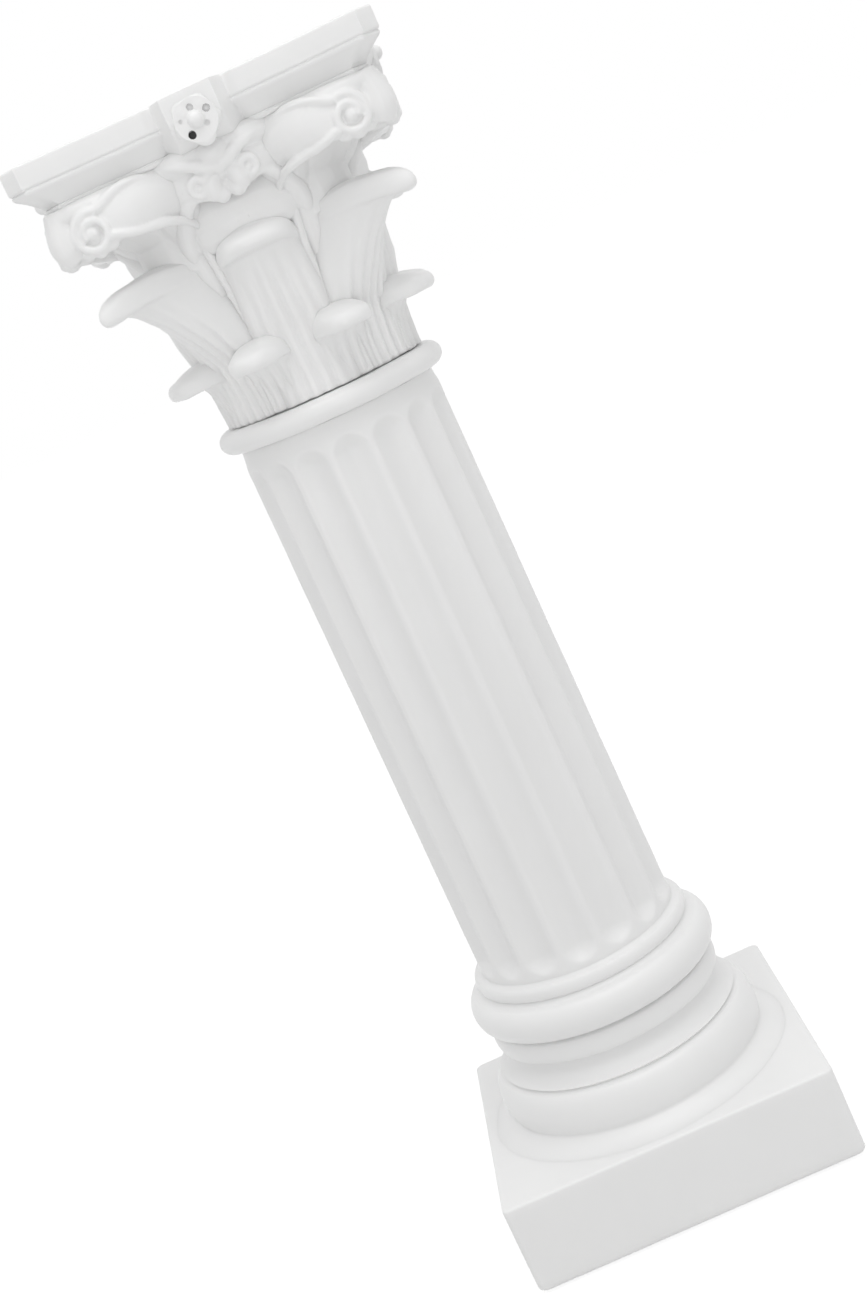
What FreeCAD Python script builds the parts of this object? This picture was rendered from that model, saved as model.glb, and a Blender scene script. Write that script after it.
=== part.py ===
import FreeCAD, Part
import math
import os

# Column pedestal in cast resin: a square plinth, a turned base, a fluted shaft and a leafy
# capital under a moulded slab, drawn together by a steel rod through the middle.
# Millimetres, +Z up, origin at the middle of the underside, front towards -Y.

# Plinth
plinth_width = 60.0
plinth_height = 16.6
plinth_edge_rounding = 0.5
plinth_foot_rounding = 1.2

# Felt pad in a recess under the plinth
felt_margin = 4.0
felt_thickness = 1.4
felt_proud = 0.4
felt_corner_radius = 3.0
felt_clearance = 0.2

# Rod, nut and washer, and the threaded sleeve at the top
rod_radius = 3.0
bore_clearance = 0.3
thread_clearance = 0.05
rod_tail = 1.2
rod_end_gap = 0.4
nut_width = 10.0
nut_height = 5.0
washer_radius = 6.0
washer_thickness = 1.2
pocket_clearance = 0.8
sleeve_radius = 4.6
sleeve_length = 6.0
sleeve_clearance = 0.05

# Spigots that centre one turned piece in the next
spigot_radius = 12.0
spigot_length = 3.0
spigot_clearance = 0.2

# Turned base, from the plinth upwards
base_sweep_radius = 28.4
base_sweep_land = 0.3
base_sweep_height = 2.5
base_sweep_bow_share = 0.35
base_waist_radius = 24.1
lower_torus_height = 9.8
lower_torus_level = 5.4
lower_torus_radius = 24.6
lower_torus_root = 22.6
base_groove_height = 0.8
base_groove_depth = 0.6
scotia_height = 4.2
scotia_neck_radius = 19.4
scotia_bow_share = 0.65
scotia_bow_level_share = 0.4
lower_fillet_height = 3.8
lower_fillet_radius = 21.3
upper_torus_height = 6.9
upper_torus_radius = 22.9
upper_torus_root = 20.6
upper_groove_height = 0.8
upper_groove_depth = 0.4
upper_fillet_height = 3.4
upper_fillet_radius = 20.1
collar_sweep = 1.0
collar_lip = 0.2
collar_bow_share = 0.3

# Shaft and its flutes
shaft_length = 100.9
shaft_foot_radius = 18.3
shaft_top_radius = 17.7
shaft_neck_radius = 17.2
shaft_neck_height = 5.0
shaft_swell = 0.12
flute_count = 16
flute_width = 5.5
flute_depth = 1.25
flute_foot_margin = 0.6
flute_top_margin = 3.4

# Bead ring between shaft and capital
astragal_height = 3.9
astragal_radius = 20.2
astragal_root = 18.5

# Bell, the core of the capital
bell_height = 41.8
bell_neck_radius = 15.9
bell_neck_height = 4.5
bell_hollow = 1.45
bell_lip_inset = 7.7
bell_lip_height = 1.4

# Ornament: seats, pegs and the fine grooves of the leaves
seat_gap = 0.1
peg_radius = 1.0
peg_length = 3.0
peg_clearance = 0.1
leaf_groove_width = 0.9
leaf_groove_depth = 0.45
leaf_groove_spacing = 2.3
leaf_foot_gap = 0.2

# Form of the leaves: shares of the lip's own sizes, and the wedge of bell that a leaf is cut from
lip_curl_share = 0.6
lip_crown_share = 0.72
round_tip_share = 0.74
long_tip_share = 0.62
leaf_sector_angle = 80.0

# Low row of leaves
lower_leaf_width = 9.4
lower_leaf_thickness = 1.5
lower_leaf_swell = 0.3
lower_leaf_lip_level = 8.4
lower_leaf_curl_height = 3.6
lower_leaf_reach = 7.3
lower_leaf_lip_thickness = 2.8
lower_leaf_crown_rise = 2.2
lower_leaf_hood = 1.4
lower_leaf_groove_count = 3

# Tall leaves on the four faces
tall_leaf_thickness = 1.4
tall_leaf_swell = 0.9
upper_leaf_width = 11.2
upper_leaf_lip_level = 24.2
upper_leaf_curl_height = 3.8
upper_leaf_reach = 7.0
upper_leaf_lip_thickness = 3.2
upper_leaf_crown_rise = 2.0
upper_leaf_hood = 2.4
upper_leaf_groove_count = 4

# Tall leaves under the four corners
corner_leaf_width = 13.2
corner_leaf_reach = 18.6
corner_leaf_lip_level = 25.2
corner_leaf_curl_height = 8.0
corner_leaf_lip_thickness = 2.9
corner_leaf_crown_rise = 3.2
corner_leaf_hood = 2.4
corner_leaf_groove_count = 5

# Stalks between the tall leaves
stalk_foot_level = 15.0
stalk_length = 17.5
stalk_foot_radius = 1.1
stalk_top_radius = 1.9
stalk_stand_off = 0.9
stalk_collar_radius = 2.3
stalk_collar_height = 1.2

# Pair of small scrolls in the middle of each face
centre_scroll_radius = 2.6
centre_scroll_spacing = 6.9
centre_scroll_drop = 2.7
centre_scroll_proud = 2.9
centre_stem_radius = 1.1
scroll_ribbon_height = 0.7

# Form of the scrolls: shares of a scroll's radius
ribbon_share = 0.2
ribbon_gap_share = 0.5
ribbon_half_count = 3
eye_share = 1.4
scroll_bridge_share = 0.6
stem_rise_share = 0.85
centre_stem_share = 0.8
volute_nose_share = 0.88

# Pair of large scrolls under each corner
volute_radius = 3.7
volute_spacing = 9.9
volute_proud = 5.1
volute_drop = 0.3
volute_depth = 4.6
volute_angle = 40.0
volute_nose_radius = 2.4
volute_nose_proud = 4.2
volute_stem_radius = 1.9

# Slab on top
abacus_height = 8.3
abacus_width = 60.6
abacus_hollow = 2.6
abacus_corner_cut = 3.6
fascia_height = 3.0
fascia_step = 1.9
bead_height = 1.2
bead_step = 1.3
cove_slope = 2.6
block_width = 10.4
block_cheek = 2.6
block_setback = 0.9

# Flower on each block
rosette_drop = 4.1
petal_count = 5
petal_radius = 1.75
petal_ring_radius = 2.25
petal_rise = 0.9
rosette_boss_radius = 1.35
rosette_plate_radius = 3.3
rosette_plate_thickness = 0.8
rosette_hole_radius = 0.5

# Angles from the front: the four faces, the corners half-way between them, the stalks half-way again
face_angles = [0.0, 90.0, 180.0, 270.0]
corner_angle = 45.0
stalk_angle = corner_angle / 2

# Heights of the joints between the stacked pieces, and sizes that follow from others
plinth_top = felt_proud + plinth_height
torus_top = plinth_top + lower_torus_height
scotia_foot = torus_top + base_groove_height
scotia_top = scotia_foot + scotia_height
lower_fillet_top = scotia_top + lower_fillet_height
upper_torus_top = lower_fillet_top + upper_torus_height
upper_groove_top = upper_torus_top + upper_groove_height
base_top = upper_groove_top + upper_fillet_height
shaft_top = base_top + shaft_length
astragal_top = shaft_top + astragal_height
bell_top = astragal_top + bell_height
abacus_top = bell_top + abacus_height
bore_radius = rod_radius + bore_clearance
socket_radius = spigot_radius + spigot_clearance
socket_depth = spigot_length + spigot_clearance
leaf_foot = astragal_top + leaf_foot_gap
lower_leaf_height = lower_leaf_lip_level + lower_leaf_lip_thickness + lower_leaf_crown_rise
upper_leaf_height = upper_leaf_lip_level + upper_leaf_lip_thickness + upper_leaf_crown_rise
corner_leaf_height = corner_leaf_lip_level + corner_leaf_lip_thickness + corner_leaf_crown_rise
bell_lip_radius = abacus_width / 2 - bell_lip_inset
volute_reach = abacus_width / 2 + volute_proud
volute_nose_reach = volute_reach + volute_nose_proud
quarter_bow = math.sqrt(0.5)


def vec(x, y, z):
    return FreeCAD.Vector(x, y, z)


up = vec(0, 0, 1)
middle = vec(0, 0, 0)


def section(start, *steps):
    """Closed face in the XZ plane; a step is a point, or a pair of points for an arc."""
    edges = []
    here = vec(start[0], 0, start[1])
    for step in steps:
        if isinstance(step[0], tuple):
            through = vec(step[0][0], 0, step[0][1])
            end = vec(step[1][0], 0, step[1][1])
            edges.append(Part.Arc(here, through, end).toShape())
        else:
            end = vec(step[0], 0, step[1])
            edges.append(Part.makeLine(here, end))
        here = end
    edges.append(Part.makeLine(here, vec(start[0], 0, start[1])))
    return Part.Face(Part.Wire(edges))


def turned(start, *steps):
    return section(start, *steps).revolve(middle, up, 360)


def sector(face, width_angle, centre_angle=0.0):
    """Part of a turned solid, centred on the +X direction or turned from it."""
    face.rotate(middle, up, centre_angle - width_angle / 2)
    return face.revolve(middle, up, width_angle)


def prism(points, bottom, height):
    corners = [vec(x, y, bottom) for x, y in points]
    return Part.Face(Part.makePolygon(corners + corners[:1])).extrude(vec(0, 0, height))


def tube(start, through, end, radius):
    """Round bar along an arc through three points."""
    path = Part.Arc(start, through, end).toShape()
    heading = path.tangentAt(path.FirstParameter)
    ring = Part.Wire(Part.makeCircle(radius, start, heading))
    return Part.Wire(path).makePipeShell([ring], True, True)


def main_solid(shape):
    """Largest solid of a cut, without slivers."""
    return max(shape.Solids, key=lambda solid: solid.Volume)


def at_angle(shape, angle):
    """Copy of a piece modelled towards +X, turned to an angle from the front (-Y)."""
    copy = shape.copy()
    copy.rotate(middle, up, angle - 90)
    return copy


def radial_peg(radius, start, end, level):
    return Part.makeCylinder(radius, end - start, vec(start, 0, level), vec(1, 0, 0))


def bell_circle():
    """Centre (r, z) and radius of the hollow curve of the bell."""
    low = vec(bell_neck_radius, 0, astragal_top + bell_neck_height)
    high = vec(bell_lip_radius, 0, bell_top - bell_lip_height)
    chord = high - low
    inwards = vec(-chord.z, 0, chord.x).normalize()
    through = (low + high) * 0.5 + inwards * bell_hollow
    circle = Part.Arc(low, through, high).toShape().Curve
    return low, through, high, circle.Center, circle.Radius


def bell_radius(level):
    """Radius of the bell's surface at a height."""
    low, through, high, centre, radius = bell_circle()
    if level <= low.z:
        return bell_neck_radius
    if level >= high.z:
        return bell_lip_radius
    return centre.x - math.sqrt(radius ** 2 - (level - centre.z) ** 2)


def make_base_felt():
    half = plinth_width / 2 - felt_margin
    pad = Part.makeBox(2 * half, 2 * half, felt_thickness, vec(-half, -half, 0))
    corners = [edge for edge in pad.Edges if edge.BoundBox.ZLength > felt_thickness / 2]
    return pad.makeFillet(felt_corner_radius, corners)


def make_plinth():
    half = plinth_width / 2
    block = Part.makeBox(plinth_width, plinth_width, plinth_height, vec(-half, -half, felt_proud))
    rim_level = plinth_top - plinth_edge_rounding
    lower_edges = [edge for edge in block.Edges if edge.CenterOfMass.z < rim_level]
    block = block.makeFillet(plinth_foot_rounding, lower_edges)
    rim = [edge for edge in block.Edges if edge.CenterOfMass.z > rim_level]
    block = block.makeFillet(plinth_edge_rounding, rim)
    inner = half - felt_margin + felt_clearance
    recess = Part.makeBox(2 * inner, 2 * inner, felt_thickness, vec(-inner, -inner, 0))
    pocket_height = rod_tail + nut_height + washer_thickness
    pocket = Part.makeCylinder(washer_radius + pocket_clearance, pocket_height, vec(0, 0, felt_thickness))
    bore = Part.makeCylinder(bore_radius, plinth_top)
    socket = Part.makeCylinder(socket_radius, socket_depth, vec(0, 0, plinth_top - socket_depth))
    return block.cut([recess, pocket, bore, socket])


def make_attic_base():
    spigot_foot = plinth_top - spigot_length
    sweep_edge = plinth_top + base_sweep_land
    waist = (base_waist_radius, plinth_top + base_sweep_height)
    sweep_bow = (base_waist_radius + (base_sweep_radius - base_waist_radius) * base_sweep_bow_share,
                 sweep_edge + (waist[1] - sweep_edge) * base_sweep_bow_share)
    groove_mid = torus_top + base_groove_height / 2
    upper_mid = (lower_fillet_top + upper_torus_top) / 2
    upper_groove_mid = upper_torus_top + upper_groove_height / 2
    scotia_depth = lower_torus_root - scotia_neck_radius
    scotia_bow_height = scotia_foot + scotia_height * scotia_bow_level_share
    scotia_bow = (lower_torus_root - scotia_depth * scotia_bow_share, scotia_bow_height)
    collar_edge = base_top - collar_sweep
    collar_head = shaft_foot_radius + collar_lip
    collar_bow = (collar_head + (upper_fillet_radius - collar_head) * collar_bow_share,
                  collar_edge + collar_sweep * collar_bow_share)
    return turned(
        (bore_radius, spigot_foot), (spigot_radius, spigot_foot), (spigot_radius, plinth_top),
        (base_sweep_radius, plinth_top), (base_sweep_radius, sweep_edge), (sweep_bow, waist),
        ((lower_torus_radius, plinth_top + lower_torus_level), (lower_torus_root, torus_top)),
        (lower_torus_root - base_groove_depth, groove_mid), (lower_torus_root, scotia_foot),
        (scotia_bow, (scotia_neck_radius, scotia_top)), (lower_fillet_radius, scotia_top),
        (lower_fillet_radius, lower_fillet_top), (upper_torus_root, lower_fillet_top),
        ((upper_torus_radius, upper_mid), (upper_torus_root, upper_torus_top)),
        (upper_torus_root - upper_groove_depth, upper_groove_mid), (upper_fillet_radius, upper_groove_top),
        (upper_fillet_radius, collar_edge), (collar_bow, (collar_head, base_top)), (socket_radius, base_top),
        (socket_radius, base_top - socket_depth), (bore_radius, base_top - socket_depth))


def make_shaft():
    shoulder = shaft_top - shaft_neck_height
    half_way = (base_top + shoulder) / 2
    swollen = (shaft_foot_radius + shaft_top_radius) / 2 + shaft_swell
    foot = base_top - spigot_length
    head = astragal_top + spigot_length
    drum = turned(
        (bore_radius, foot), (spigot_radius, foot), (spigot_radius, base_top), (shaft_foot_radius, base_top),
        ((swollen, half_way), (shaft_top_radius, shoulder)), (shaft_neck_radius, shaft_top),
        (spigot_radius, shaft_top), (spigot_radius, head), (bore_radius, head))
    cutter_radius = (flute_width ** 2 / 4 + flute_depth ** 2) / (2 * flute_depth)
    out = cutter_radius - flute_depth
    low = vec(shaft_foot_radius + out, 0, base_top + flute_foot_margin + flute_width / 2)
    high = vec(shaft_top_radius + out, 0, shaft_top - flute_top_margin - flute_width / 2)
    run = high.sub(low)
    flute = Part.makeCylinder(cutter_radius, run.Length, low, run)
    for end in (low, high):
        ball = Part.makeSphere(cutter_radius)
        ball.translate(end)
        flute = flute.fuse(ball)
    drum.rotate(middle, up, 180 / flute_count)
    flutes = [at_angle(flute, 360 / flute_count * number) for number in range(flute_count)]
    return drum.cut(flutes)


def make_astragal_ring():
    mid = (shaft_top + astragal_top) / 2
    return turned((socket_radius, shaft_top), (astragal_root, shaft_top),
                  ((astragal_radius, mid), (astragal_root, astragal_top)), (socket_radius, astragal_top))


def bell_blank(grow, bottom, top, inside):
    """The bell's turned form, with its outside grown by a gap."""
    low, through, high, centre, radius = bell_circle()
    return turned((inside, bottom), (bell_neck_radius + grow, bottom), (bell_neck_radius + grow, low.z),
                  ((through.x + grow, through.z), (bell_lip_radius + grow, high.z)),
                  (bell_lip_radius + grow, top), (inside, top))


def peg_seat(level):
    """Inner end and face of the bell, where an ornament's peg goes in at a height."""
    face = bell_radius(level)
    return face - peg_length, face


lower_peg_level = leaf_foot + (lower_leaf_lip_level - lower_leaf_curl_height) / 2 + socket_depth / 2
tall_peg_level = leaf_foot + upper_leaf_lip_level - upper_leaf_curl_height - 2 * peg_radius
scroll_peg_level = bell_top - bell_lip_height - centre_scroll_drop


def leaf_front(levels, thickness, swell, inset):
    """Radii of a leaf's front at its foot, waist and spring, set back by an inset."""
    swells = (0, swell / 4, swell)
    return [bell_radius(level) + thickness + bulge - inset for level, bulge in zip(levels, swells)]


def leaf_section(levels, front, under, reach, lip_thickness, root, root_radius):
    """Upright section of a leaf: body, hollow under the lip, rolled lip and crown."""
    foot, waist, spring = levels
    foot_r, waist_r, spring_r = front
    tip_r = spring_r + reach
    tip_start = tip_r - lip_thickness / 2
    lip_top = under + lip_thickness
    curl_end = spring_r + (tip_start - spring_r) * lip_curl_share
    curl_bow = (spring_r + (curl_end - spring_r) * (1 - quarter_bow), spring + (under - spring) * quarter_bow)
    crown = ((root_radius + tip_start) / 2, lip_top + (root - lip_top) * lip_crown_share)
    inside = bell_neck_radius - peg_length
    return section(
        (inside, foot), (foot_r, foot), ((waist_r, waist), (spring_r, spring)), (curl_bow, (curl_end, under)),
        (tip_start, under), ((tip_r, under + lip_thickness / 2), (tip_start, lip_top)),
        (crown, (root_radius, root)), (inside, root))


def leaf_plan(half, shoulder, tip, fullness, foot, height):
    """Upright prism of the leaf's outline from above, rounded to its tip."""
    bow = shoulder + (tip - shoulder) * fullness
    point = vec(tip, 0, foot)
    left = [vec(0, -half, foot), vec(shoulder, -half, foot), vec(bow, -half * fullness, foot)]
    right = [vec(0, half, foot), vec(shoulder, half, foot), vec(bow, half * fullness, foot)]
    outline = Part.Wire([
        Part.makeLine(left[0], left[1]), Part.Arc(left[1], left[2], point).toShape(),
        Part.Arc(point, right[2], right[1]).toShape(), Part.makeLine(right[1], right[0]),
        Part.makeLine(right[0], left[0])])
    return Part.Face(outline).extrude(vec(0, 0, height))


def leaf_arch(half, foot, root, hood, reach):
    """Prism along +X of the leaf's outline from the front, with an arched top."""
    left, right = vec(0, -half, foot), vec(0, half, foot)
    left_top, right_top = vec(0, -half, root - hood), vec(0, half, root - hood)
    outline = Part.Wire([
        Part.makeLine(right, left), Part.makeLine(left, left_top),
        Part.Arc(left_top, vec(0, 0, root), right_top).toShape(), Part.makeLine(right_top, right)])
    return Part.Face(outline).extrude(vec(reach, 0, 0))


def leaf_groove(levels, front, back, turn):
    """Cutter for one fine groove up the front of a leaf."""
    foot, waist, spring = levels
    profile = section(
        (back[0], foot), (front[0], foot), ((front[1], waist), (front[2], spring)), (back[2], spring),
        ((back[1], waist), (back[0], foot + seat_gap)))
    return sector(profile, math.degrees(leaf_groove_width / front[1]), turn)


def leaf(width, thickness, swell, lip_level, curl_height, reach, lip_thickness, height, hood, fullness,
         grooves, peg_level):
    """Leaf against the bell, modelled towards +X, with a peg behind it."""
    spring = leaf_foot + lip_level - curl_height
    levels = (leaf_foot, (leaf_foot + spring) / 2, spring)
    front = leaf_front(levels, thickness, swell, 0)
    root = leaf_foot + height
    tip = front[2] + reach
    half = width / 2
    upright = leaf_section(levels, front, leaf_foot + lip_level, reach, lip_thickness, root,
                           bell_radius(root) + thickness / 2)
    body = sector(upright, leaf_sector_angle)
    body = body.common(leaf_plan(half, front[2], tip, fullness, leaf_foot, height))
    body = body.common(leaf_arch(half, leaf_foot, root, hood, tip))
    ahead = leaf_front(levels, thickness, swell, -leaf_groove_depth)
    behind = leaf_front(levels, thickness, swell, leaf_groove_depth)
    cutters = [bell_blank(seat_gap, astragal_top, bell_top, bore_radius)]
    for number in range(grooves):
        offset = (number - (grooves - 1) / 2) * leaf_groove_spacing
        cutters.append(leaf_groove(levels, ahead, behind, math.degrees(offset / front[1])))
    start, face = peg_seat(peg_level)
    return main_solid(body.cut(cutters)).fuse(radial_peg(peg_radius, start, face + thickness / 2, peg_level))


def make_lower_leaf():
    return leaf(lower_leaf_width, lower_leaf_thickness, lower_leaf_swell, lower_leaf_lip_level,
                lower_leaf_curl_height, lower_leaf_reach, lower_leaf_lip_thickness, lower_leaf_height,
                lower_leaf_hood, round_tip_share, lower_leaf_groove_count, lower_peg_level)


def make_upper_leaf():
    return leaf(upper_leaf_width, tall_leaf_thickness, tall_leaf_swell, upper_leaf_lip_level,
                upper_leaf_curl_height, upper_leaf_reach, upper_leaf_lip_thickness, upper_leaf_height,
                upper_leaf_hood, round_tip_share, upper_leaf_groove_count, tall_peg_level)


def make_corner_leaf():
    return leaf(corner_leaf_width, tall_leaf_thickness, tall_leaf_swell, corner_leaf_lip_level,
                corner_leaf_curl_height, corner_leaf_reach, corner_leaf_lip_thickness, corner_leaf_height,
                corner_leaf_hood, long_tip_share, corner_leaf_groove_count, tall_peg_level)


def make_stalk():
    """Tapering stem up the bell, with a collar at its top, modelled towards +X."""
    foot = leaf_foot + stalk_foot_level
    head = foot + stalk_length
    low = vec(bell_radius(foot) + stalk_stand_off, 0, foot)
    high = vec(bell_radius(head) + stalk_stand_off, 0, head)
    run = high.sub(low)
    stem = Part.makeCone(stalk_foot_radius, stalk_top_radius, run.Length, low, run)
    collar = Part.makeCylinder(stalk_collar_radius, stalk_collar_height, high, run)
    return stem.fuse(collar)


def spiral_ribbon(radius, width, height):
    """Flat spiral of half rings about Z; each half is smaller and starts where the last one ends."""
    step = width * (1 + ribbon_gap_share)
    halves = []
    for number in range(ribbon_half_count):
        half_ring = Part.makeCylinder(radius, height, middle, up, 180)
        half_ring = half_ring.cut(Part.makeCylinder(radius - width, height, middle, up, 180))
        if number % 2:
            half_ring.rotate(middle, up, 180)
            half_ring.translate(vec(-step, 0, 0))
        halves.append(half_ring)
        radius -= step
    return halves


def scroll(radius, depth, hand):
    """Drum with a raised spiral and an eye, its face at z = 0 and its axis along Z."""
    width = radius * ribbon_share
    drum = Part.makeCylinder(radius, depth, vec(0, 0, -depth))
    sunk = scroll_ribbon_height / 2
    raised = spiral_ribbon(radius - sunk / 2, width, scroll_ribbon_height + sunk)
    raised.append(Part.makeCylinder(width * eye_share, scroll_ribbon_height + sunk, vec(-width / 2, 0, 0)))
    for piece in raised:
        piece.translate(vec(0, 0, -sunk))
    whole = drum.fuse(raised)
    if hand < 0:
        whole = whole.mirror(middle, vec(1, 0, 0))
    return whole


def facing(shape, place, turn):
    """Stands a scroll's face upright towards +X turned by an angle, with its spiral's start on top."""
    shape.rotate(middle, up, 90)
    shape.rotate(middle, vec(0, 1, 0), 90)
    shape.rotate(middle, up, turn)
    shape.translate(place)
    return shape


def stalk_head(side):
    """Top of the stalk beside a face or a corner, seen from the +X direction."""
    level = leaf_foot + stalk_foot_level + stalk_length + stalk_collar_height
    out = bell_radius(level) + stalk_stand_off
    angle = math.radians(stalk_angle) * side
    return vec(out * math.cos(angle), out * math.sin(angle), level)


def make_centre_scroll():
    """Two small scrolls side by side with their stems, modelled towards +X."""
    level = scroll_peg_level
    face = bell_radius(level) + centre_scroll_proud
    depth = centre_scroll_proud + peg_length
    half = centre_scroll_spacing / 2
    height = 2 * centre_scroll_radius * scroll_bridge_share
    pieces = []
    for side in (-1, 1):
        pieces.append(facing(scroll(centre_scroll_radius, depth, side), vec(face, side * half, level), 0))
        foot = stalk_head(side)
        rise = (centre_scroll_radius - centre_stem_radius) / 2
        top = vec(face - centre_scroll_proud / 2, side * half, level + rise)
        bow = vec((foot.x + top.x) / 2 + centre_stem_radius, top.y + (foot.y - top.y) * centre_stem_share,
                  foot.z + (top.z - foot.z) * stem_rise_share)
        pieces.append(tube(foot, bow, top, centre_stem_radius))
    bridge_back = face - depth - scroll_ribbon_height
    bridge = Part.makeBox(depth, 2 * half, height, vec(bridge_back, -half, level - height / 2))
    return bridge.fuse(pieces)


def make_corner_volute():
    """Two large scrolls that meet at the corner, with their stems, modelled towards +X."""
    level = bell_top - volute_drop - volute_radius
    half = volute_spacing / 2
    nose_height = 2 * volute_radius * volute_nose_share
    web_height = volute_radius * scroll_bridge_share
    pieces = []
    for side in (-1, 1):
        place = vec(volute_reach, side * half, level)
        pieces.append(facing(scroll(volute_radius, volute_depth, -side), place, side * volute_angle))
        foot = stalk_head(side)
        rise = (volute_radius - volute_stem_radius) / 2
        top = vec(volute_reach - volute_depth / 2, side * half, level + rise)
        bow = vec((foot.x + top.x) / 2, (foot.y + top.y) / 2, foot.z + (top.z - foot.z) * stem_rise_share)
        pieces.append(tube(foot, bow, top, volute_stem_radius))
    nose_place = volute_nose_reach - volute_nose_radius
    nose = Part.makeCylinder(volute_nose_radius, nose_height, vec(nose_place, 0, level - nose_height / 2))
    web_length = nose_place - bell_neck_radius
    web = Part.makeBox(web_length, half, web_height, vec(bell_neck_radius, -half / 2, level))
    return nose.fuse(pieces + [web])


def abacus_outline(inset, level):
    """Hollow-sided square with cut corners."""
    half = abacus_width / 2 - inset
    cut = abacus_corner_cut * math.sqrt(0.5)
    hollow = half - abacus_hollow
    edges = []
    for turn in face_angles:
        start = vec(-half + cut, -half, level)
        end = vec(half - cut, -half, level)
        side = Part.Arc(start, vec(0, -hollow, level), end).toShape()
        corner = Part.makeLine(end, vec(half, -half + cut, level))
        for edge in (side, corner):
            edge.rotate(middle, up, turn)
            edges.append(edge)
    return Part.Wire(edges)


def make_abacus():
    cove_top = abacus_top - fascia_height - bead_height
    bead_top = abacus_top - fascia_height
    cove_ends = [abacus_outline(fascia_step + cove_slope, bell_top), abacus_outline(fascia_step, cove_top)]
    cove = Part.makeLoft(cove_ends, True, True)
    bead = Part.Face(abacus_outline(bead_step, cove_top)).extrude(vec(0, 0, bead_height))
    fascia = Part.Face(abacus_outline(0, bead_top)).extrude(vec(0, 0, fascia_height))
    front = abacus_width / 2 - block_setback
    root = abacus_width / 2 - abacus_hollow - fascia_step - cove_slope
    wide = block_width / 2 + block_cheek
    back = root - abacus_hollow
    block_corners = [(back, -wide), (root, -wide), (front, -block_width / 2),
                     (front, block_width / 2), (root, wide), (back, wide)]
    block = prism(block_corners, bell_top, abacus_height)
    slab = cove.fuse([bead, fascia] + [at_angle(block, angle) for angle in face_angles]).removeSplitter()
    peg_level = abacus_top - rosette_drop
    hole_end = front - peg_length - peg_clearance
    peg_hole = radial_peg(peg_radius + peg_clearance, hole_end, front + peg_clearance, peg_level)
    sleeve_hole = Part.makeCylinder(sleeve_radius + sleeve_clearance, sleeve_length + sleeve_clearance,
                                    vec(0, 0, bell_top))
    return slab.cut([sleeve_hole] + [at_angle(peg_hole, angle) for angle in face_angles])


def make_rosette():
    """Flower of round petals about a boss, with drilled holes between them, modelled towards +X."""
    front = abacus_width / 2 - block_setback
    level = abacus_top - rosette_drop
    outwards = vec(1, 0, 0)
    plate = Part.makeCylinder(rosette_plate_radius, rosette_plate_thickness, vec(front, 0, level), outwards)
    boss = Part.makeSphere(rosette_boss_radius)
    boss.translate(vec(front + petal_rise, 0, level))
    rounds = [boss]
    holes = []
    hole_floor = front + rosette_plate_thickness / 4
    hole_length = petal_rise + petal_radius
    for number in range(petal_count):
        turn = 2 * math.pi * number / petal_count
        petal = Part.makeSphere(petal_radius)
        petal.translate(vec(front + petal_rise - petal_radius / 2, petal_ring_radius * math.sin(turn),
                            level + petal_ring_radius * math.cos(turn)))
        rounds.append(petal)
        between = turn + math.pi / petal_count
        hole_place = vec(hole_floor, petal_ring_radius * math.sin(between),
                         level + petal_ring_radius * math.cos(between))
        holes.append(Part.makeCylinder(rosette_hole_radius, hole_length, hole_place, outwards))
    flower = plate.fuse(rounds).cut(holes)
    half = petal_ring_radius + petal_radius
    behind = Part.makeBox(half, 2 * half, 2 * half, vec(front - half, -half, level - half))
    flower = main_solid(flower.cut(behind))
    return flower.fuse(radial_peg(peg_radius, front - peg_length, front + rosette_plate_thickness / 2, level))


def make_bell(lower_angles, corner_angles):
    core = bell_blank(0, astragal_top, bell_top, bore_radius)
    socket = Part.makeCylinder(socket_radius, socket_depth, vec(0, 0, astragal_top))
    sockets = [socket]
    for level, angles in ((lower_peg_level, lower_angles), (tall_peg_level, face_angles + corner_angles),
                          (scroll_peg_level, face_angles)):
        start, face = peg_seat(level)
        hole = radial_peg(peg_radius + peg_clearance, start - peg_clearance, face + peg_radius, level)
        sockets += [at_angle(hole, angle) for angle in angles]
    return core.cut(sockets)


def make_tie_rod():
    foot = felt_thickness + rod_end_gap
    return Part.makeCylinder(rod_radius, bell_top + sleeve_length - rod_end_gap - foot, vec(0, 0, foot))


def make_top_sleeve():
    sleeve = Part.makeCylinder(sleeve_radius, sleeve_length, vec(0, 0, bell_top))
    return sleeve.cut(Part.makeCylinder(rod_radius + thread_clearance, sleeve_length, vec(0, 0, bell_top)))


def make_rod_nut():
    foot = felt_thickness + rod_tail
    reach = nut_width / math.sqrt(3)
    corners = [(reach * math.cos(math.pi / 3 * n), reach * math.sin(math.pi / 3 * n)) for n in range(6)]
    return prism(corners, foot, nut_height).cut(
        Part.makeCylinder(rod_radius + thread_clearance, nut_height, vec(0, 0, foot)))


def make_rod_washer():
    foot = felt_thickness + rod_tail + nut_height
    washer = Part.makeCylinder(washer_radius, washer_thickness, vec(0, 0, foot))
    return washer.cut(Part.makeCylinder(bore_radius, washer_thickness, vec(0, 0, foot)))


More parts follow.
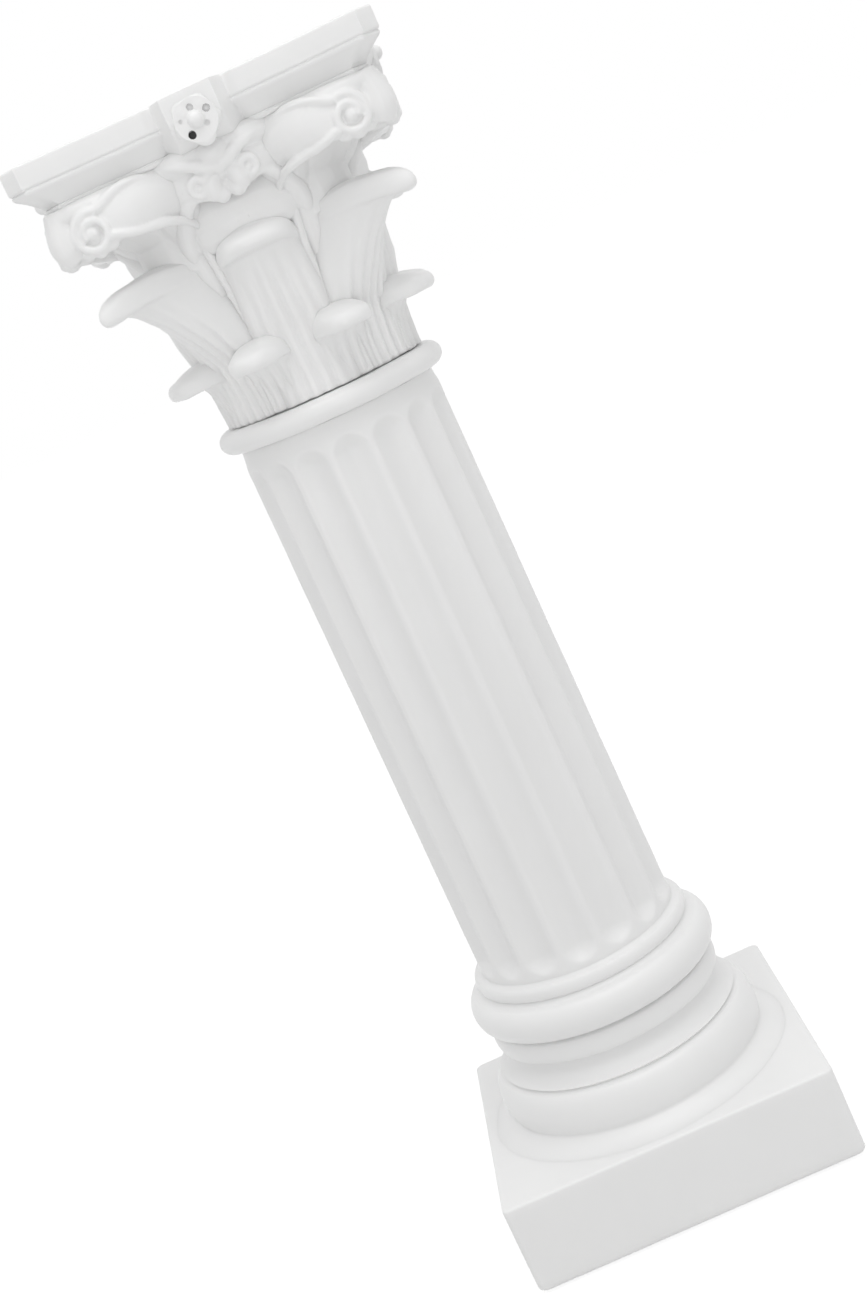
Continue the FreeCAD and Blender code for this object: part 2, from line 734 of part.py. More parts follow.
def main():
    corner_angles = [angle + corner_angle for angle in face_angles]
    lower_angles = [angle + stalk_angle for angle in sorted(face_angles + corner_angles)]
    nodes = {
        "base_felt": make_base_felt(),
        "plinth": make_plinth(),
        "attic_base": make_attic_base(),
        "shaft": make_shaft(),
        "astragal_ring": make_astragal_ring(),
        "bell": make_bell(lower_angles, corner_angles),
        "abacus": make_abacus(),
        "tie_rod": make_tie_rod(),
        "top_sleeve": make_top_sleeve(),
        "rod_nut": make_rod_nut(),
        "rod_washer": make_rod_washer(),
    }
    core = bell_blank(seat_gap, astragal_top - spigot_length, bell_top, bore_radius)

    lower_leaf = make_lower_leaf()
    for number, angle in enumerate(lower_angles):
        nodes["lower_leaf_%d" % (number + 1)] = at_angle(lower_leaf, angle)

    # The low leaves stand in front of the tall ones, which are cut away behind them.
    beside = [at_angle(lower_leaf, 90 + stalk_angle), at_angle(lower_leaf, 90 - stalk_angle)]
    upper_leaf = main_solid(make_upper_leaf().cut(beside))
    corner_leaf = main_solid(make_corner_leaf().cut(beside))
    for number, angle in enumerate(face_angles):
        nodes["upper_leaf_%d" % (number + 1)] = at_angle(upper_leaf, angle)
        nodes["corner_leaf_%d" % (number + 1)] = at_angle(corner_leaf, angle + corner_angle)

    # Stalks come in pairs, one to each side of a tall face leaf.
    stalks = []
    for side in (-1, 1):
        stalk = make_stalk()
        stalk = stalk.cut([core, at_angle(lower_leaf, 90), at_angle(upper_leaf, 90 - side * stalk_angle),
                           at_angle(corner_leaf, 90 + side * (corner_angle - stalk_angle))])
        stalks.append(main_solid(stalk))
    for number, angle in enumerate(face_angles):
        for place, side in enumerate((-1, 1)):
            name = "stalk_%d" % (2 * number + place + 1)
            nodes[name] = at_angle(stalks[place], angle + side * stalk_angle)

    near_stalks = [at_angle(stalks[0], 90 - stalk_angle), at_angle(stalks[1], 90 + stalk_angle)]
    scroll_pair = make_centre_scroll()
    peg_start, peg_face = peg_seat(scroll_peg_level)
    scroll_peg = radial_peg(peg_radius, peg_start, peg_face + centre_scroll_proud / 2, scroll_peg_level)
    scroll_pair = main_solid(scroll_pair.cut([core, upper_leaf] + near_stalks)).fuse(scroll_peg)

    corner_stalks = [at_angle(stalks[1], 90 - corner_angle + stalk_angle),
                     at_angle(stalks[0], 90 + corner_angle - stalk_angle)]
    scroll_sides = [at_angle(scroll_pair, 90 - corner_angle), at_angle(scroll_pair, 90 + corner_angle)]
    volute = make_corner_volute().cut([core, corner_leaf] + corner_stalks + scroll_sides)
    volute = main_solid(volute)
    rosette = make_rosette()
    for number, angle in enumerate(face_angles):
        nodes["centre_scroll_%d" % (number + 1)] = at_angle(scroll_pair, angle)
        nodes["corner_volute_%d" % (number + 1)] = at_angle(volute, angle + corner_angle)
        nodes["rosette_%d" % (number + 1)] = at_angle(rosette, angle)

    os.makedirs("parts", exist_ok=True)
    for name, shape in nodes.items():
        shape.exportStep("parts/%s.step" % name)
        print("%-18s solids %d valid %s" % (name, len(shape.Solids), shape.isValid()))


main()
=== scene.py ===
import math

import bmesh
import bpy
from mathutils import Matrix, Vector


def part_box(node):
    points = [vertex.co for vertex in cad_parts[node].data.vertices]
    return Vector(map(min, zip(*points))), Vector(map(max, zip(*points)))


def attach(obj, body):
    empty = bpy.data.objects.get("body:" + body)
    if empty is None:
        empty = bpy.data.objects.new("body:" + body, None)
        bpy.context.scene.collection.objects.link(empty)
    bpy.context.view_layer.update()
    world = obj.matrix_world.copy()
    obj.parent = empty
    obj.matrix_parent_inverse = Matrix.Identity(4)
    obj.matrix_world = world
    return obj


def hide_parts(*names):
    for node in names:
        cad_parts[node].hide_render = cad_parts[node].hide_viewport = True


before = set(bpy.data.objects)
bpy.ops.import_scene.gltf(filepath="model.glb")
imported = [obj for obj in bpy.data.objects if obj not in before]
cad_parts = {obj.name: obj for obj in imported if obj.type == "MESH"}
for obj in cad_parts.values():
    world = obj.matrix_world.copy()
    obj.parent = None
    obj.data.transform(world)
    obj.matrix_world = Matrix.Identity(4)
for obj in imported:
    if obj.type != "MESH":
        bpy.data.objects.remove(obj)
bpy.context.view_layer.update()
mm = 0.001  # sizes are written in millimetres, meshes are in metres


def levelOf(node, end):  # height of a node's foot (0) or top (1)
    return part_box(node)[end].z / mm


def reachOf(node):  # how far a node stands out from the axis
    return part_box(node)[1].x / mm


# the stack of pieces, from the frame
plinthFoot = levelOf("plinth", 0)
plinthTop = levelOf("plinth", 1)
baseTop = levelOf("attic_base", 1)
shaftTop = levelOf("astragal_ring", 0)
ringTop = levelOf("astragal_ring", 1)
bellTop = levelOf("bell", 1)
bellLip = reachOf("bell")
slabTop = levelOf("abacus", 1)
slabHalf = reachOf("abacus")
print("frame loaded:", len(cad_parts), "nodes")


# helpers for meshes
def makeObject(name, points, faces):
    mesh = bpy.data.meshes.new(name)
    mesh.from_pydata([Vector(point) * mm for point in points], [], faces)
    obj = bpy.data.objects.new(name, mesh)
    bpy.context.scene.collection.objects.link(obj)
    return obj


def mendMesh(obj):  # doubles merged, faces outwards
    bm = bmesh.new()
    bm.from_mesh(obj.data)
    bmesh.ops.remove_doubles(bm, verts=bm.verts, dist=0.002 * mm)
    bmesh.ops.recalc_face_normals(bm, faces=bm.faces)
    bm.to_mesh(obj.data)
    bm.free()


def bakeModifiers(obj):  # the evaluated result becomes the plain mesh
    depsgraph = bpy.context.evaluated_depsgraph_get()
    baked = bpy.data.meshes.new_from_object(obj.evaluated_get(depsgraph), depsgraph=depsgraph)
    obj.modifiers.clear()
    obj.data = baked


def softenPiece(obj, sizes):  # run together like clay, then smoothed and thinned
    remesh = obj.modifiers.new("clay", "REMESH")
    remesh.mode = "VOXEL"
    remesh.voxel_size = sizes["grain"] * mm
    smooth = obj.modifiers.new("smooth", "SMOOTH")
    smooth.factor = 0.5
    smooth.iterations = sizes["smoothing"]
    if sizes["kept"] < 1:
        thin = obj.modifiers.new("thin", "DECIMATE")
        thin.ratio = sizes["kept"]
    bakeModifiers(obj)


def loft(name, rings):  # closed rings of equal length, capped at both ends
    count = len(rings[0])
    points = [point for ring in rings for point in ring]
    faces = []
    for row in range(len(rings) - 1):
        for place in range(count):
            here = row * count + place
            beside = row * count + (place + 1) % count
            faces.append((here, beside, beside + count, here + count))
    faces.append(tuple(range(count))[::-1])
    faces.append(tuple(range(len(points) - count, len(points))))
    obj = makeObject(name, points, faces)
    mendMesh(obj)
    return obj


def turnedPiece(name, profile, steps=160):  # profile of (radius, level) pairs, turned about the axis
    rings = []
    for radius, level in profile:
        ring = []
        for step in range(steps):
            angle = 2 * math.pi * step / steps
            ring.append((radius * math.cos(angle), radius * math.sin(angle), level))
        rings.append(ring)
    return loft(name, rings)


def halfRound(root, crown, low, high, steps=14):  # a torus in profile, from low to high
    points = []
    for step in range(steps + 1):
        turn = math.pi * step / steps
        points.append((root + (crown - root) * math.sin(turn),
                       (low + high) / 2 - (high - low) / 2 * math.cos(turn)))
    return points


def bend(start, pull, end, steps):  # curve from start towards pull, ending at end
    points = []
    for step in range(steps + 1):
        share = step / steps
        points.append(tuple((1 - share) ** 2 * a + 2 * share * (1 - share) * b + share ** 2 * c
                            for a, b, c in zip(start, pull, end)))
    return points


def softMax(first, second, blend):  # the larger of two, eased where they cross
    overlap = max(blend - abs(first - second), 0) / blend
    return max(first, second) + overlap ** 2 * blend / 4


# helpers for nodes
def addNode(tree, kind, inputs=None, **settings):
    node = tree.nodes.new(kind)
    for key, value in settings.items():
        setattr(node, key, value)
    for key, value in (inputs or {}).items():
        if isinstance(value, bpy.types.NodeSocket):
            tree.links.new(value, node.inputs[key])
        else:
            node.inputs[key].default_value = value
    return node


def calc(tree, operation, *values):
    return addNode(tree, "ShaderNodeMath", dict(enumerate(values)), operation=operation).outputs[0]


def newTree(name, sockets):
    tree = bpy.data.node_groups.new(name, "GeometryNodeTree")
    tree.interface.new_socket("Geometry", in_out="OUTPUT", socket_type="NodeSocketGeometry")
    tree.interface.new_socket("Geometry", in_out="INPUT", socket_type="NodeSocketGeometry")
    for label, kind, value in sockets:
        socket = tree.interface.new_socket(label, in_out="INPUT", socket_type="NodeSocket" + kind)
        if value is not None:
            socket.default_value = value
    return tree


def endTree(tree, geometry, finish):
    solid = addNode(tree, "GeometryNodeRealizeInstances", {"Geometry": geometry})
    painted = addNode(tree, "GeometryNodeSetMaterial", {"Geometry": solid.outputs[0], "Material": finish})
    addNode(tree, "NodeGroupOutput", {0: painted.outputs[0]})


def runTree(obj, tree, values):
    mod = obj.modifiers.new(tree.name, "NODES")
    mod.node_group = tree
    for item in tree.interface.items_tree:
        if item.item_type == "SOCKET" and item.in_out == "INPUT" and item.name in values:
            mod[item.identifier] = values[item.name]
    bakeModifiers(obj)


def addLumps(tree, geometry, given):  # the soft unevenness of a hand-made mould
    place = addNode(tree, "GeometryNodeInputPosition")
    scale = calc(tree, "DIVIDE", 1.0, given["Lump Size"])
    noise = addNode(tree, "ShaderNodeTexNoise",
                    {"Vector": place.outputs[0], "W": given["Seed"], "Scale": scale, "Detail": 1.0},
                    noise_dimensions="4D")
    centred = addNode(tree, "ShaderNodeVectorMath", {0: noise.outputs["Color"], 1: (0.5, 0.5, 0.5)},
                      operation="SUBTRACT")
    offset = addNode(tree, "ShaderNodeVectorMath", {0: centred.outputs[0], "Scale": given["Lump Height"]},
                     operation="SCALE")
    moved = addNode(tree, "GeometryNodeSetPosition", {"Geometry": geometry, "Offset": offset.outputs[0]})
    return moved.outputs[0]


lumpSockets = [("Lump Size", "Float", 6 * mm), ("Lump Height", "Float", 0.1 * mm), ("Seed", "Float", 1.0)]


def buildRingTree():  # copies of a piece turned about the axis
    tree = newTree("ringOfPieces", [("Count", "Int", 4), ("Start", "Float", 0.0)] + lumpSockets
                   + [("Finish", "Material", None)])
    given = addNode(tree, "NodeGroupInput").outputs
    spots = addNode(tree, "GeometryNodePoints", {"Count": given["Count"]})
    number = addNode(tree, "GeometryNodeInputIndex")
    step = calc(tree, "DIVIDE", 2 * math.pi, given["Count"])
    turn = calc(tree, "MULTIPLY_ADD", number.outputs[0], step, given["Start"])
    rotation = addNode(tree, "ShaderNodeCombineXYZ", {"Z": turn})
    ring = addNode(tree, "GeometryNodeInstanceOnPoints", {
        "Points": spots.outputs[0], "Instance": given["Geometry"], "Rotation": rotation.outputs[0]})
    solid = addNode(tree, "GeometryNodeRealizeInstances", {"Geometry": ring.outputs[0]})
    endTree(tree, addLumps(tree, solid.outputs[0], given), given["Finish"])
    return tree


def buildShaftTree():  # a drum whose flutes follow a rule of angle and height
    tree = newTree("flutedDrum", [
        ("Foot Level", "Float", 0.0), ("Length", "Float", 0.1), ("Foot Radius", "Float", 0.018),
        ("Top Radius", "Float", 0.0177), ("Neck Drop", "Float", 0.0005), ("Neck Height", "Float", 0.005),
        ("Flutes", "Int", 16), ("Flute Half Width", "Float", 0.0027), ("Flute Depth", "Float", 0.0012),
        ("Flute Foot", "Float", 0.002), ("Flute Head", "Float", 0.003), ("Rib Softness", "Float", 0.3),
        ("Steps Around", "Int", 257), ("Steps Up", "Int", 240), ("Crowding", "Float", 0.7)] + lumpSockets
        + [("Finish", "Material", None)])
    given = addNode(tree, "NodeGroupInput").outputs
    sheet = addNode(tree, "GeometryNodeMeshGrid", {
        "Size X": 1.0, "Size Y": 1.0, "Vertices X": given["Steps Around"], "Vertices Y": given["Steps Up"]})
    place = addNode(tree, "GeometryNodeInputPosition")
    split = addNode(tree, "ShaderNodeSeparateXYZ", {0: place.outputs[0]})
    around = calc(tree, "ADD", split.outputs[0], 0.5)
    upward = calc(tree, "ADD", split.outputs[1], 0.5)
    angle = calc(tree, "MULTIPLY", around, 2 * math.pi)
    # rows stand closer together towards the ends of the flutes
    wave = calc(tree, "SINE", calc(tree, "MULTIPLY", upward, 2 * math.pi))
    crowd = calc(tree, "DIVIDE", given["Crowding"], 2 * math.pi)
    share = calc(tree, "SUBTRACT", upward, calc(tree, "MULTIPLY", wave, crowd))
    height = calc(tree, "MULTIPLY", share, given["Length"])
    taper = calc(tree, "SUBTRACT", given["Top Radius"], given["Foot Radius"])
    radius = calc(tree, "MULTIPLY_ADD", taper, share, given["Foot Radius"])
    neckStart = calc(tree, "SUBTRACT", given["Length"], given["Neck Height"])
    neck = addNode(tree, "ShaderNodeMapRange", {
        "Value": height, "From Min": neckStart, "From Max": given["Length"],
        "To Min": 0.0, "To Max": given["Neck Drop"]}, interpolation_type="SMOOTHSTEP")
    radius = calc(tree, "SUBTRACT", radius, neck.outputs[0])
    # distance from the middle line of the nearest flute, which has round ends
    count = calc(tree, "MULTIPLY_ADD", around, given["Flutes"], 0.5)
    phase = calc(tree, "SUBTRACT", calc(tree, "FRACT", count), 0.5)
    pitch = calc(tree, "DIVIDE", calc(tree, "MULTIPLY", radius, 2 * math.pi), given["Flutes"])
    sideways = calc(tree, "MULTIPLY", phase, pitch)
    lowEnd = calc(tree, "ADD", given["Flute Foot"], given["Flute Half Width"])
    highEnd = calc(tree, "SUBTRACT", calc(tree, "SUBTRACT", given["Length"], given["Flute Head"]),
                   given["Flute Half Width"])
    below = calc(tree, "SUBTRACT", lowEnd, height)
    above = calc(tree, "SUBTRACT", height, highEnd)
    beyond = calc(tree, "MAXIMUM", calc(tree, "MAXIMUM", below, above), 0.0)
    away = calc(tree, "SQRT", calc(tree, "ADD", calc(tree, "MULTIPLY", sideways, sideways),
                                   calc(tree, "MULTIPLY", beyond, beyond)))
    across = calc(tree, "DIVIDE", away, given["Flute Half Width"])
    hollow = calc(tree, "SUBTRACT", 1.0, calc(tree, "MULTIPLY", across, across))
    hollow = calc(tree, "SMOOTH_MAX", hollow, 0.0, given["Rib Softness"])
    radius = calc(tree, "SUBTRACT", radius, calc(tree, "MULTIPLY", hollow, given["Flute Depth"]))
    # the first and last rows run in to the axis and close the drum
    inside = calc(tree, "COMPARE", upward, 0.5, 0.4999)
    radius = calc(tree, "MULTIPLY", radius, inside)
    spot = addNode(tree, "ShaderNodeCombineXYZ", {
        "X": calc(tree, "MULTIPLY", radius, calc(tree, "COSINE", angle)),
        "Y": calc(tree, "MULTIPLY", radius, calc(tree, "SINE", angle)),
        "Z": calc(tree, "ADD", height, given["Foot Level"])})
    drum = addNode(tree, "GeometryNodeSetPosition", {
        "Geometry": sheet.outputs[0], "Position": spot.outputs[0]})
    closed = addNode(tree, "GeometryNodeMergeByDistance", {
        "Geometry": drum.outputs[0], "Distance": 0.002 * mm})
    endTree(tree, addLumps(tree, closed.outputs[0], given), given["Finish"])
    return tree


ringTree = buildRingTree()
shaftTree = buildShaftTree()
print("node trees built")


# finishes
def newMaterial(name):
    mat = bpy.data.materials.new(name)
    mat.use_nodes = True
    return mat, mat.node_tree, mat.node_tree.nodes["Principled BSDF"]


def addNoise(tree, place, scale, detail):
    return addNode(tree, "ShaderNodeTexNoise", {"Vector": place, "Scale": scale, "Detail": detail}).outputs[0]


def mixColours(tree, share, first, second):  # each a socket, or red, green and blue
    ends = [end if isinstance(end, bpy.types.NodeSocket) else (*end, 1) for end in (first, second)]
    mix = addNode(tree, "ShaderNodeMix", {"Factor": share, 6: ends[0], 7: ends[1]}, data_type="RGBA")
    return mix.outputs[2]


def addBump(tree, shader, height, strength, depth):
    bump = addNode(tree, "ShaderNodeBump", {"Strength": strength, "Distance": depth * mm, "Height": height})
    tree.links.new(bump.outputs[0], shader.inputs["Normal"])


# the near-black used inside the flowers' holes is painted shade
# the pinholes' darker colour and its share are painted shade
resinLook = {"shade": (0.86, 0.86, 0.857), "paler": (0.90, 0.90, 0.897), "pinholeShadeColour": (0.60, 0.59, 0.575),
             "hole": (0.03, 0.03, 0.03), "roughness": (0.34, 0.46), "grain": 0.5, "pinholes": 0.025,
             "pinholeSize": 0.055, "pinholeShadeShare": 0.6, "glow": 0.25, "glowDepth": 1.2}


def makeResin():
    look = resinLook
    mat, tree, shader = newMaterial("castResin")
    place = addNode(tree, "ShaderNodeTexCoord").outputs["Object"]
    colour = mixColours(tree, addNoise(tree, place, 70.0, 3.0), look["shade"], look["paler"])
    # pinholes from air in the mould: few cells of a fine pattern hold one
    cells = addNode(tree, "ShaderNodeTexVoronoi", {"Vector": place, "Scale": 150.0, "Randomness": 1.0})
    chosen = addNode(tree, "ShaderNodeSeparateColor", {0: cells.outputs["Color"]})
    rare = calc(tree, "GREATER_THAN", chosen.outputs[0], 1 - look["pinholes"])
    pit = addNode(tree, "ShaderNodeMapRange", {
        "Value": cells.outputs["Distance"], "From Min": 0.0, "From Max": look["pinholeSize"],
        "To Min": 1.0, "To Max": 0.0})
    pinhole = calc(tree, "MULTIPLY", pit.outputs[0], rare)
    # painted shade: the colour darkens in the pinholes, where shade would fall
    pinholeShaded = mixColours(tree, calc(tree, "MULTIPLY", pinhole, look["pinholeShadeShare"]), colour, look["pinholeShadeColour"])
    # painted shade: the colour runs to near-black where the flowers' holes are marked
    paintedHoleShade = addNode(tree, "ShaderNodeAttribute", attribute_name="paintedHoleShade")
    dark = mixColours(tree, paintedHoleShade.outputs["Fac"], pinholeShaded, look["hole"])
    tree.links.new(dark, shader.inputs["Base Color"])
    # satin skin, glossier in some places than in others
    glossy, dull = look["roughness"]
    rough = addNode(tree, "ShaderNodeMapRange", {
        "Value": addNoise(tree, place, 120.0, 2.0), "From Min": 0.3, "From Max": 0.7,
        "To Min": glossy, "To Max": dull})
    tree.links.new(rough.outputs[0], shader.inputs["Roughness"])
    fine = calc(tree, "MULTIPLY", addNoise(tree, place, 520.0, 4.0), look["grain"])
    addBump(tree, shader, calc(tree, "SUBTRACT", fine, pinhole), 0.25, 0.12)
    shader.inputs["Subsurface Weight"].default_value = look["glow"]
    shader.inputs["Subsurface Radius"].default_value = (1.0, 1.0, 1.0)
    shader.inputs["Subsurface Scale"].default_value = look["glowDepth"] * mm
    shader.inputs["Specular IOR Level"].default_value = 0.5
    return mat


feltLook = {"shade": (0.62, 0.61, 0.58), "paler": (0.80, 0.79, 0.76), "roughness": 0.95, "sheen": 0.3}


def makeFelt():
    look = feltLook
    mat, tree, shader = newMaterial("paleFelt")
    place = addNode(tree, "ShaderNodeTexCoord").outputs["Object"]
    fibres = addNoise(tree, place, 1400.0, 6.0)
    colour = mixColours(tree, fibres, look["shade"], look["paler"])
    tree.links.new(colour, shader.inputs["Base Color"])
    addBump(tree, shader, fibres, 0.6, 0.2)
    shader.inputs["Roughness"].default_value = look["roughness"]
    shader.inputs["Sheen Weight"].default_value = look["sheen"]
    return mat


def makeMetal(name, shade, paler):  # streaks run along the rod
    mat, tree, shader = newMaterial(name)
    place = addNode(tree, "ShaderNodeTexCoord").outputs["Object"]
    stretched = addNode(tree, "ShaderNodeMapping", {"Vector": place, "Scale": (1.0, 1.0, 0.08)})
    streaks = addNoise(tree, stretched.outputs[0], 900.0, 4.0)
    tree.links.new(mixColours(tree, streaks, shade, paler), shader.inputs["Base Color"])
    rough = addNode(tree, "ShaderNodeMapRange", {"Value": streaks, "To Min": 0.28, "To Max": 0.5})
    tree.links.new(rough.outputs[0], shader.inputs["Roughness"])
    shader.inputs["Metallic"].default_value = 1.0
    return mat


resin = makeResin()
felt = makeFelt()
rodSteel = makeMetal("rodSteel", (0.50, 0.50, 0.51), (0.68, 0.68, 0.69))
sleeveBrass = makeMetal("sleeveBrass", (0.62, 0.46, 0.22), (0.80, 0.64, 0.36))
print("finishes made")


def finishPiece(obj, name, nodes, sharpAngle):
    obj.name = name
    obj.data.name = name
    obj.data.shade_smooth()
    obj.data.set_sharp_from_angle(angle=math.radians(sharpAngle))
    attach(obj, "root")
    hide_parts(*nodes)
    triangles = sum(len(face.vertices) - 2 for face in obj.data.polygons)
    print("made", name, triangles, "triangles")


def castRing(obj, count, start, sizes):  # copies about the axis, in uneven resin
    runTree(obj, ringTree, {
        "Count": count, "Start": math.radians(start), "Lump Size": sizes["lumpSize"] * mm,
        "Lump Height": sizes["lump"] * mm, "Seed": sizes["seed"], "Finish": resin})


def numbered(stem, count):
    return ["%s_%d" % (stem, number) for number in range(1, count + 1)]


# plinth
plinthSizes = {"corner": 1.2, "footRounding": 1.2, "topRounding": 0.5, "steps": 24,
               "lumpSize": 14, "lump": 0.12, "seed": 3.0}


def squareRing(half, corner, level, steps):
    points = []
    for quarter in range(4):
        turn = math.pi / 2 * quarter
        side = []
        for step in range(steps):
            side.append((half, -half + corner + (2 * half - 2 * corner) * step / steps))
        for step in range(8):
            angle = math.pi / 2 * step / 8
            side.append((half - corner + corner * math.cos(angle), half - corner + corner * math.sin(angle)))
        for x, y in side:
            points.append((x * math.cos(turn) - y * math.sin(turn),
                           x * math.sin(turn) + y * math.cos(turn), level))
    return points


def makePlinth():
    sizes = plinthSizes
    half = reachOf("plinth")
    rings = []
    for step in range(7):  # rounded foot
        angle = math.pi / 2 * step / 6
        inset = sizes["footRounding"] * (1 - math.sin(angle))
        level = plinthFoot + sizes["footRounding"] * (1 - math.cos(angle))
        rings.append(squareRing(half - inset, sizes["corner"], level, sizes["steps"]))
    low = plinthFoot + sizes["footRounding"]
    high = plinthTop - sizes["topRounding"]
    for step in range(1, 12):
        rings.append(squareRing(half, sizes["corner"], low + (high - low) * step / 12, sizes["steps"]))
    for step in range(7):  # small rounding along the top edges
        angle = math.pi / 2 * step / 6
        inset = sizes["topRounding"] * (1 - math.cos(angle))
        level = high + sizes["topRounding"] * math.sin(angle)
        rings.append(squareRing(half - inset, sizes["corner"], level, sizes["steps"]))
    block = loft("plinth", rings)
    castRing(block, 1, 0, sizes)
    finishPiece(block, "plinthBlock", ["plinth"], 50)


# turned base
baseSizes = {"bore": 3.5, "sweep": 4.6, "sweepTop": 2.4, "torus": 24.6, "torusRoot": 22.6, "torusLevel": 5.4,
             "torusTop": 9.8, "groove": 0.8, "grooveDepth": 0.6, "scotia": 4.2, "neck": 19.4, "band": 3.8,
             "bandRadius": 21.3, "upperTorus": 22.9, "upperRoot": 20.6, "upperTop": 6.3, "collar": 20.1,
             "collarHeight": 2.4, "shaft": 18.2, "lumpSize": 10, "lump": 0.14, "seed": 5.0}


def makeBase():
    sizes = baseSizes
    torus = sizes["torus"]
    root = sizes["torusRoot"]
    groove = sizes["groove"]
    collar = sizes["collar"]
    level = plinthTop + sizes["torusLevel"]
    torusTop = plinthTop + sizes["torusTop"]
    scotiaFoot = torusTop + groove
    scotiaTop = scotiaFoot + sizes["scotia"]
    bandTop = scotiaTop + sizes["band"]
    upperFoot = bandTop + groove * 0.7
    upperTop = upperFoot + sizes["upperTop"]
    collarFoot = upperTop + groove
    collarTop = collarFoot + sizes["collarHeight"]
    # lower torus, which sweeps out on to the plinth
    waist = torus - 0.5
    edge = waist + sizes["sweep"]
    sweepTop = plinthTop + sizes["sweepTop"]
    profile = [(sizes["bore"], plinthTop - 0.3), (edge, plinthTop - 0.3)]
    profile += bend((edge, plinthTop - 0.08), (waist + sizes["sweep"] * 0.45, plinthTop + 0.05),
                    (waist, sweepTop), 12)
    profile += bend((waist, sweepTop + 0.2), (torus, level - 1.6), (torus, level), 8)
    for step in range(1, 15):
        turn = math.pi / 2 * step / 14
        profile.append((root + (torus - root) * math.cos(turn), level + (torusTop - level) * math.sin(turn)))
    # hollow and the band above it
    profile += [(root - sizes["grooveDepth"], torusTop + groove * 0.4)]
    profile += bend((root - 0.1, scotiaFoot), (sizes["neck"], scotiaFoot + 0.8),
                    (sizes["neck"], scotiaTop - 0.3), 12)
    profile += halfRound(sizes["bandRadius"] - 0.7, sizes["bandRadius"], scotiaTop, bandTop, 14)
    # upper torus between two grooves, and the collar that runs into the shaft
    upperGroove = sizes["upperRoot"] - sizes["grooveDepth"]
    profile += [(upperGroove, bandTop + groove * 0.35)]
    profile += halfRound(sizes["upperRoot"], sizes["upperTorus"], upperFoot, upperTop, 22)
    profile += [(upperGroove, upperTop + groove * 0.4)]
    profile += halfRound(collar - 0.6, collar, collarFoot, collarTop, 12)[:-2]
    profile += bend((collar - 0.4, collarTop), (sizes["shaft"] + 0.2, collarTop + 0.1),
                    (sizes["shaft"], baseTop), 8)
    profile += [(sizes["bore"], baseTop)]
    base = turnedPiece("base", profile)
    castRing(base, 1, 0, sizes)
    finishPiece(base, "turnedBase", ["attic_base"], 60)


# shaft
shaftSizes = {"footRadius": 18.4, "topRadius": 17.85, "sunk": 1.0, "neckDrop": 0.5, "neckHeight": 5.0,
              "flutes": 16, "fluteHalf": 3.0, "fluteDepth": 1.55, "fluteFoot": 1.6, "fluteHead": 3.2,
              "ribSoftness": 0.35, "stepsPerFlute": 18, "stepsUp": 240, "crowding": 0.75,
              "lumpSize": 9, "lump": 0.14, "seed": 7.0}


def makeShaft():
    sizes = shaftSizes
    drum = makeObject("shaft", [], [])
    runTree(drum, shaftTree, {
        "Foot Level": (baseTop - sizes["sunk"]) * mm, "Length": (shaftTop - baseTop + sizes["sunk"]) * mm,
        "Foot Radius": sizes["footRadius"] * mm, "Top Radius": sizes["topRadius"] * mm,
        "Neck Drop": sizes["neckDrop"] * mm, "Neck Height": sizes["neckHeight"] * mm,
        "Flutes": sizes["flutes"], "Flute Half Width": sizes["fluteHalf"] * mm,
        "Flute Depth": sizes["fluteDepth"] * mm, "Flute Foot": sizes["fluteFoot"] * mm,
        "Flute Head": sizes["fluteHead"] * mm, "Rib Softness": sizes["ribSoftness"],
        "Steps Around": sizes["flutes"] * sizes["stepsPerFlute"] + 1, "Steps Up": sizes["stepsUp"],
        "Crowding": sizes["crowding"], "Lump Size": sizes["lumpSize"] * mm,
        "Lump Height": sizes["lump"] * mm, "Seed": sizes["seed"], "Finish": resin})
    finishPiece(drum, "flutedShaft", ["shaft"], 70)


# bead ring and bell
ringSizes = {"root": 18.2, "inner": 12.5, "lumpSize": 9, "lump": 0.35, "seed": 11.0}
bellSizes = {"bore": 3.5, "neck": 15.9, "neckHeight": 4.5, "hollow": 1.45, "lipHeight": 1.4, "steps": 48,
             "lumpSize": 7, "lump": 0.3, "seed": 13.0}


def makeRing():
    sizes = ringSizes
    crown = reachOf("astragal_ring")
    profile = [(sizes["inner"], shaftTop)] + halfRound(sizes["root"], crown, shaftTop, ringTop, 18)
    profile += [(sizes["inner"], ringTop)]
    ring = turnedPiece("ring", profile, 200)
    castRing(ring, 1, 0, sizes)
    finishPiece(ring, "beadRing", ["astragal_ring"], 60)


def bellRadius(level):  # hollow curve from the neck to the lip
    sizes = bellSizes
    low = Vector((sizes["neck"], ringTop + sizes["neckHeight"]))
    high = Vector((bellLip, bellTop - sizes["lipHeight"]))
    chord = high - low
    inwards = Vector((-chord.y, chord.x)).normalized()
    radius = (chord.length ** 2 / 4 + sizes["hollow"] ** 2) / (2 * sizes["hollow"])
    centre = (low + high) / 2 + inwards * (sizes["hollow"] - radius)
    if level <= low.y:
        return low.x
    if level >= high.y:
        return high.x
    return centre.x - math.sqrt(radius ** 2 - (level - centre.y) ** 2)


def makeBell():
    sizes = bellSizes
    profile = [(sizes["bore"], ringTop)]
    for step in range(sizes["steps"] + 1):
        level = ringTop + (bellTop - ringTop) * step / sizes["steps"]
        profile.append((bellRadius(level), level))
    profile += [(sizes["bore"], bellTop)]
    bell = turnedPiece("bell", profile)
    castRing(bell, 1, 0, sizes)
    finishPiece(bell, "bellCore", ["bell"], 60)


